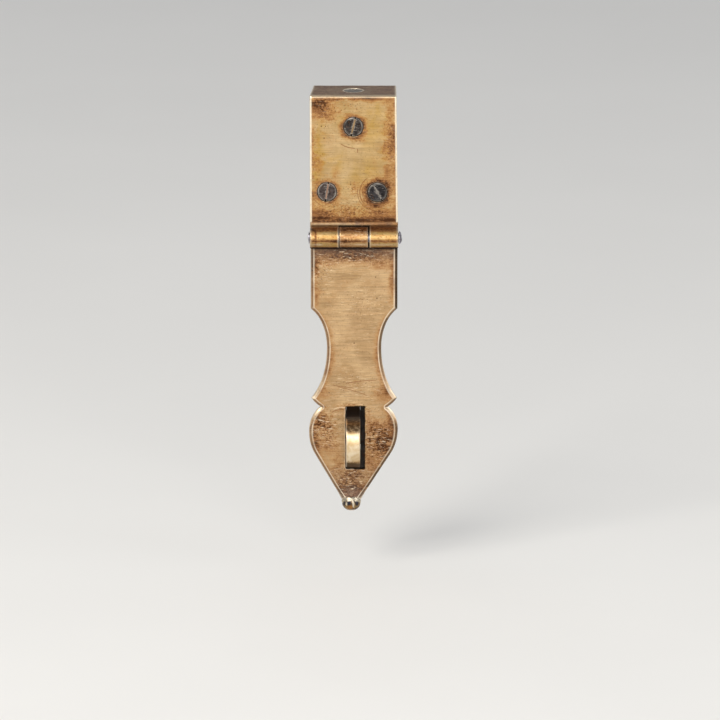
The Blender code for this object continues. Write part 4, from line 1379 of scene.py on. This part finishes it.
def make_screw(name, point, out, turn, long, seed, slot_wide, material):
    """A wood screw with a driver slot, plain shank and a true helical thread."""
    r = SCREW_HEAD_R
    shares = (0.05, 0.25, 0.45, 0.62, 0.78, 0.9)
    profile = [(share * r, (0.05 if share < 0.5 else 0.03) * MM) for share in shares]
    profile += [(0.96 * r, 0.0), (0.99 * r, -0.06 * MM), (r, -0.14 * MM), (r, -SCREW_RIM)]
    head_end = -(SCREW_RIM + r - SCREW_SHANK_R)
    plain_end = -0.33 * long
    profile += [(0.82 * r, -SCREW_RIM - 0.18 * r), (SCREW_SHANK_R + 0.4 * MM, head_end + 0.4 * MM)]
    profile += [(SCREW_SHANK_R, h) for h in spread(-head_end, -plain_end, 0.7 * MM)]
    profile = [(radius, h if h < 0.06 * MM else -h) for radius, h in profile]
    profile += [(SCREW_SHANK_R, -h) for h in spread(-plain_end, long - 0.15 * MM, 0.2 * MM)[1:]]

    def radius_at(angle, radius, h):
        if h > plain_end - 1e-9:
            return radius
        phase = (-h / SCREW_PITCH + angle / (2 * pi)) % 1
        crest = 1 - smooth_step(0.0, 0.42, abs(phase - 0.5))
        into = smooth_step(0, 1.2 * MM, plain_end - h)
        point_share = min(1.0, (long + h) / (4 * MM)) ** 0.8
        core = SCREW_SHANK_R + (SCREW_CORE_R - SCREW_SHANK_R) * into
        return (core + (SCREW_SHANK_R - core) * crest) * point_share + 0.08 * MM * (1 - point_share)

    screw = revolve(name + "_visual", profile, 48, radius_at)
    half, deep = slot_wide / 2, 1.0 * MM
    section = [(-half, -deep), (-half, -0.1 * MM)]
    section += [(-half - 0.08 * MM, 0.02 * MM), (-half - 0.5 * MM, 1 * MM)]
    section += [(-x, h) for x, h in section[::-1]]
    rings = []
    for y in spread(-r - 1 * MM, r + 1 * MM, 0.8 * MM):
        jitter = [0.07 * MM * noise_at(y * 500, k, seed) for k in range(len(section))]
        rings.append([(x + moved, y, h) for (x, h), moved in zip(section, jitter)])
    combine(screw, [loft("cut", rings)])
    rough_up(screw, 0.04 * MM, 2.2 * MM, seed, lambda p: 1.0 if p.z > -0.3 * MM else 0.3)

    def rim(p, wear_and_highlight):
        """A bright rim, rubbed unevenly and painted as a highlight ring on the head's face."""
        outer = smooth_step(0.86 * r, 0.95 * r, hypot(p.x, p.y)) if p.z > -0.2 * MM else 0.0
        return max(0.7 * wear_and_highlight, outer * (0.4 + 0.9 * noise.noise(p * 350 + Vector((seed, 0, 0)))))

    edge_attributes(screw, 0.7, 0.3, 0, rim)

    def dust(p, n):
        in_slot = abs(p.x) < half + 0.1 * MM and p.z > -1.1 * MM
        deep_in = smooth_step(-0.2 * MM, -0.6 * MM, p.z) if in_slot else 0.0
        return deep_in * min(1.0, 0.75 + 0.5 * noise_at(p.y * 350, seed, 0))

    paint(screw, dust=dust)
    screw.data.transform(screw_frame(Vector(point) - SCREW_SUNK * Vector(out), out, turn))
    finish(screw, material, "fixed", name)


def make_screws():
    # Dark and light of the steel, dust in the slot, slot width, place in the noise
    shades = {
        "lid_screw_top": ("1f1c1b", "48423f", "a88c68", 0.8, (1, 0, 0)),
        "lid_screw_left": ("2e2726", "574e4b", "c09a84", 0.7, (4, 0, 2)),
        "lid_screw_right": ("1e1d1e", "434041", "b5ada4", 0.5, (2, 5, 0)),
        "flange_screw": ("4a4540", "6d665f", "8f7a62", 1.0, (0, 3, 6)),
    }
    spots = {}
    for name, (x, z, turn) in FACE_SCREWS.items():
        spots[name] = ((x, -LID_THICK, above_pin(z)), (0, -1, 0), turn, FACE_SCREW_LONG)
    x, y, turn = FLANGE_SCREW
    spots["flange_screw"] = ((x, y, above_pin(Z_LID_TOP)), (0, 0, 1), turn, FLANGE_SCREW_LONG)
    for seed, (name, (point, out, turn, long)) in enumerate(spots.items(), 1):
        dark, light, dust, slot_wide, shift = shades[name]
        looks = {"dark": dark, "light": light, "rim": "b5aea4", "dust": dust}
        looks |= {"rusty": 0.35, "rough": 0.42, "shift": shift}
        make_screw(name, point, out, turn, long, seed, slot_wide * MM, steel(name + "_steel", looks))


def make_pin():
    """The rod with a hand-peened dome at each end."""
    half = LID_HALF_WIDTH + 0.25 * MM
    head_r = (PIN[1].z - PIN[0].z) / 2
    right, left = PIN[1].x - half, -half - PIN[0].x
    turns = [pi / 2 * i / 10 for i in range(11)]
    profile = [(max(0.12 * MM, head_r * sin(t)), half + right * cos(t)) for t in turns]
    inner = spread(-half, half, 3 * MM)[::-1][1:-1]
    profile += [(PIN_R, half), *[(PIN_R, x) for x in inner], (PIN_R, -half)]
    profile += [(max(0.12 * MM, head_r * cos(t)), -half - left * sin(t)) for t in turns]
    pin = revolve("hinge_pin_visual", profile, 56)
    pin.data.transform(Matrix.Translation((0, PIN_Y, above_pin(0))) @ Matrix.Rotation(radians(90), 4, "Y"))
    rough_up(pin, 0.2 * MM, 2.4 * MM, 7, lambda p: 1.0 if abs(p.x) > half + 0.1 * MM else 0.0)
    edge_attributes(pin, 0.7, 0.3, 0)
    paint(pin, dust=lambda p, n: 0.0)
    looks = {"dark": "5f5a60", "light": "a5a2ac", "rim": "c4c2cc", "dust": "9c898b"}
    looks |= {"rusty": 0.5, "rough": 0.3, "shift": (0, 1, 3)}
    finish(pin, steel("pin_steel", looks), "fixed", "hinge_pin")


def make_clench_plate():
    """Thin hammered iron plate on the board's inside, with a square hole for each leg."""
    low, high = CLENCH
    mid_x, mid_z = (low.x + high.x) / 2, (low.z + high.z) / 2
    half_x, half_z = (high.x - low.x) / 2, (high.z - low.z) / 2
    corner, edge = 2.5 * MM, 0.3 * MM
    rows = [half_z - corner * (1 - sin(radians(a))) for a in (90, 60, 40, 22, 8)]
    rows += spread(-(half_z - corner), half_z - corner, 0.9 * MM)[::-1]
    rows += [-z for z in rows[:5][::-1]]
    rings = []
    for z in rows:
        into = max(0.0, abs(z) - (half_z - corner))
        wide = half_x - corner + sqrt(max(0.0, corner**2 - into**2)) + (0.02 * MM if into >= corner else 0)
        wide = max(wide, 0.6 * MM)
        xs = np.linspace(-wide + edge, wide - edge, 26)
        ring = [(x, low.y) for x in xs] + [(wide, low.y + edge), (wide, high.y - edge)]
        ring += [(x, high.y) for x in xs[::-1]] + [(-wide, high.y - edge), (-wide, low.y + edge)]
        rings.append([(mid_x + x, y, mid_z + z) for x, y in ring])
    plate = loft("clench_plate_visual", rings)
    cutters = []
    clear = 0.1 * MM
    inward, outward, side = STAPLE_THICK + clear, clear, STAPLE_HALF_WIDTH + clear
    for z, span in ((Z_STAPLE[0], (-outward, inward)), (Z_STAPLE[1], (-inward, outward))):
        corners = [(-side, span[0]), (side, span[0]), (side, span[1]), (-side, span[1])]
        corners = [(STAPLE_X + x, z + dz) for x, dz in corners]
        hole = [[(x, y, above_pin(height)) for x, height in corners] for y in (0.0, 2 * high.y)]
        cutters.append(loft("cut", hole))
    combine(plate, cutters)
    rough_up(plate, 0.12 * MM, 3.5 * MM, 11, lambda p: 1.0 if abs(p.y - high.y) < 0.1 * MM else 0.25)
    edge_attributes(plate, 0.9, 0.4, 0)
    w = Wiring("clench_iron")
    cloud = w.noise(260, 5, 0.65, 0.6)
    # Near-black iron: the hidden plate's own dark tarnish, kept this dark to stand in for the shade seen
    # through the slot
    colour = w.mix(w.steps(cloud, 0.3, 0.7), "2a2725", "4a4541")
    rust = w.steps(w.noise(380, 4, 0.7, 0.3, 0, (2, 0, 1)), 0.56, 0.7)
    colour = w.over(colour, rust, "4d3021", 0.6)
    colour = w.over(colour, w.attribute("wear_and_highlight"), "6a645e", 0.5)
    rough = w.steps(cloud, 0.3, 0.7, 0.5, 0.68)
    finish(plate, w.surface(colour, rough, cloud, 0.5, 0.15 * MM), "fixed", "clench_plate")


bpy.context.scene.view_settings.view_transform = "Standard"
make_camera()
make_world()
make_light("key", (-1.3, -1.5, 1.5), (0, 0, -0.06), (1.3, 1.3), 40, (1.0, 0.97, 0.92))
make_light("front", (0.2, -2.6, 0.85), (0, 0, -0.1), (2.2, 1.8), 31, (1.0, 0.98, 0.95))
make_light("side", (1.6, -0.5, 0.5), (0, 0, -0.06), (0.7, 1.2), 6, (0.95, 0.97, 1.0))
make_floor()
make_lid_plate()
make_strap()
make_knob()
make_staple()
make_screws()
make_pin()
make_clench_plate()
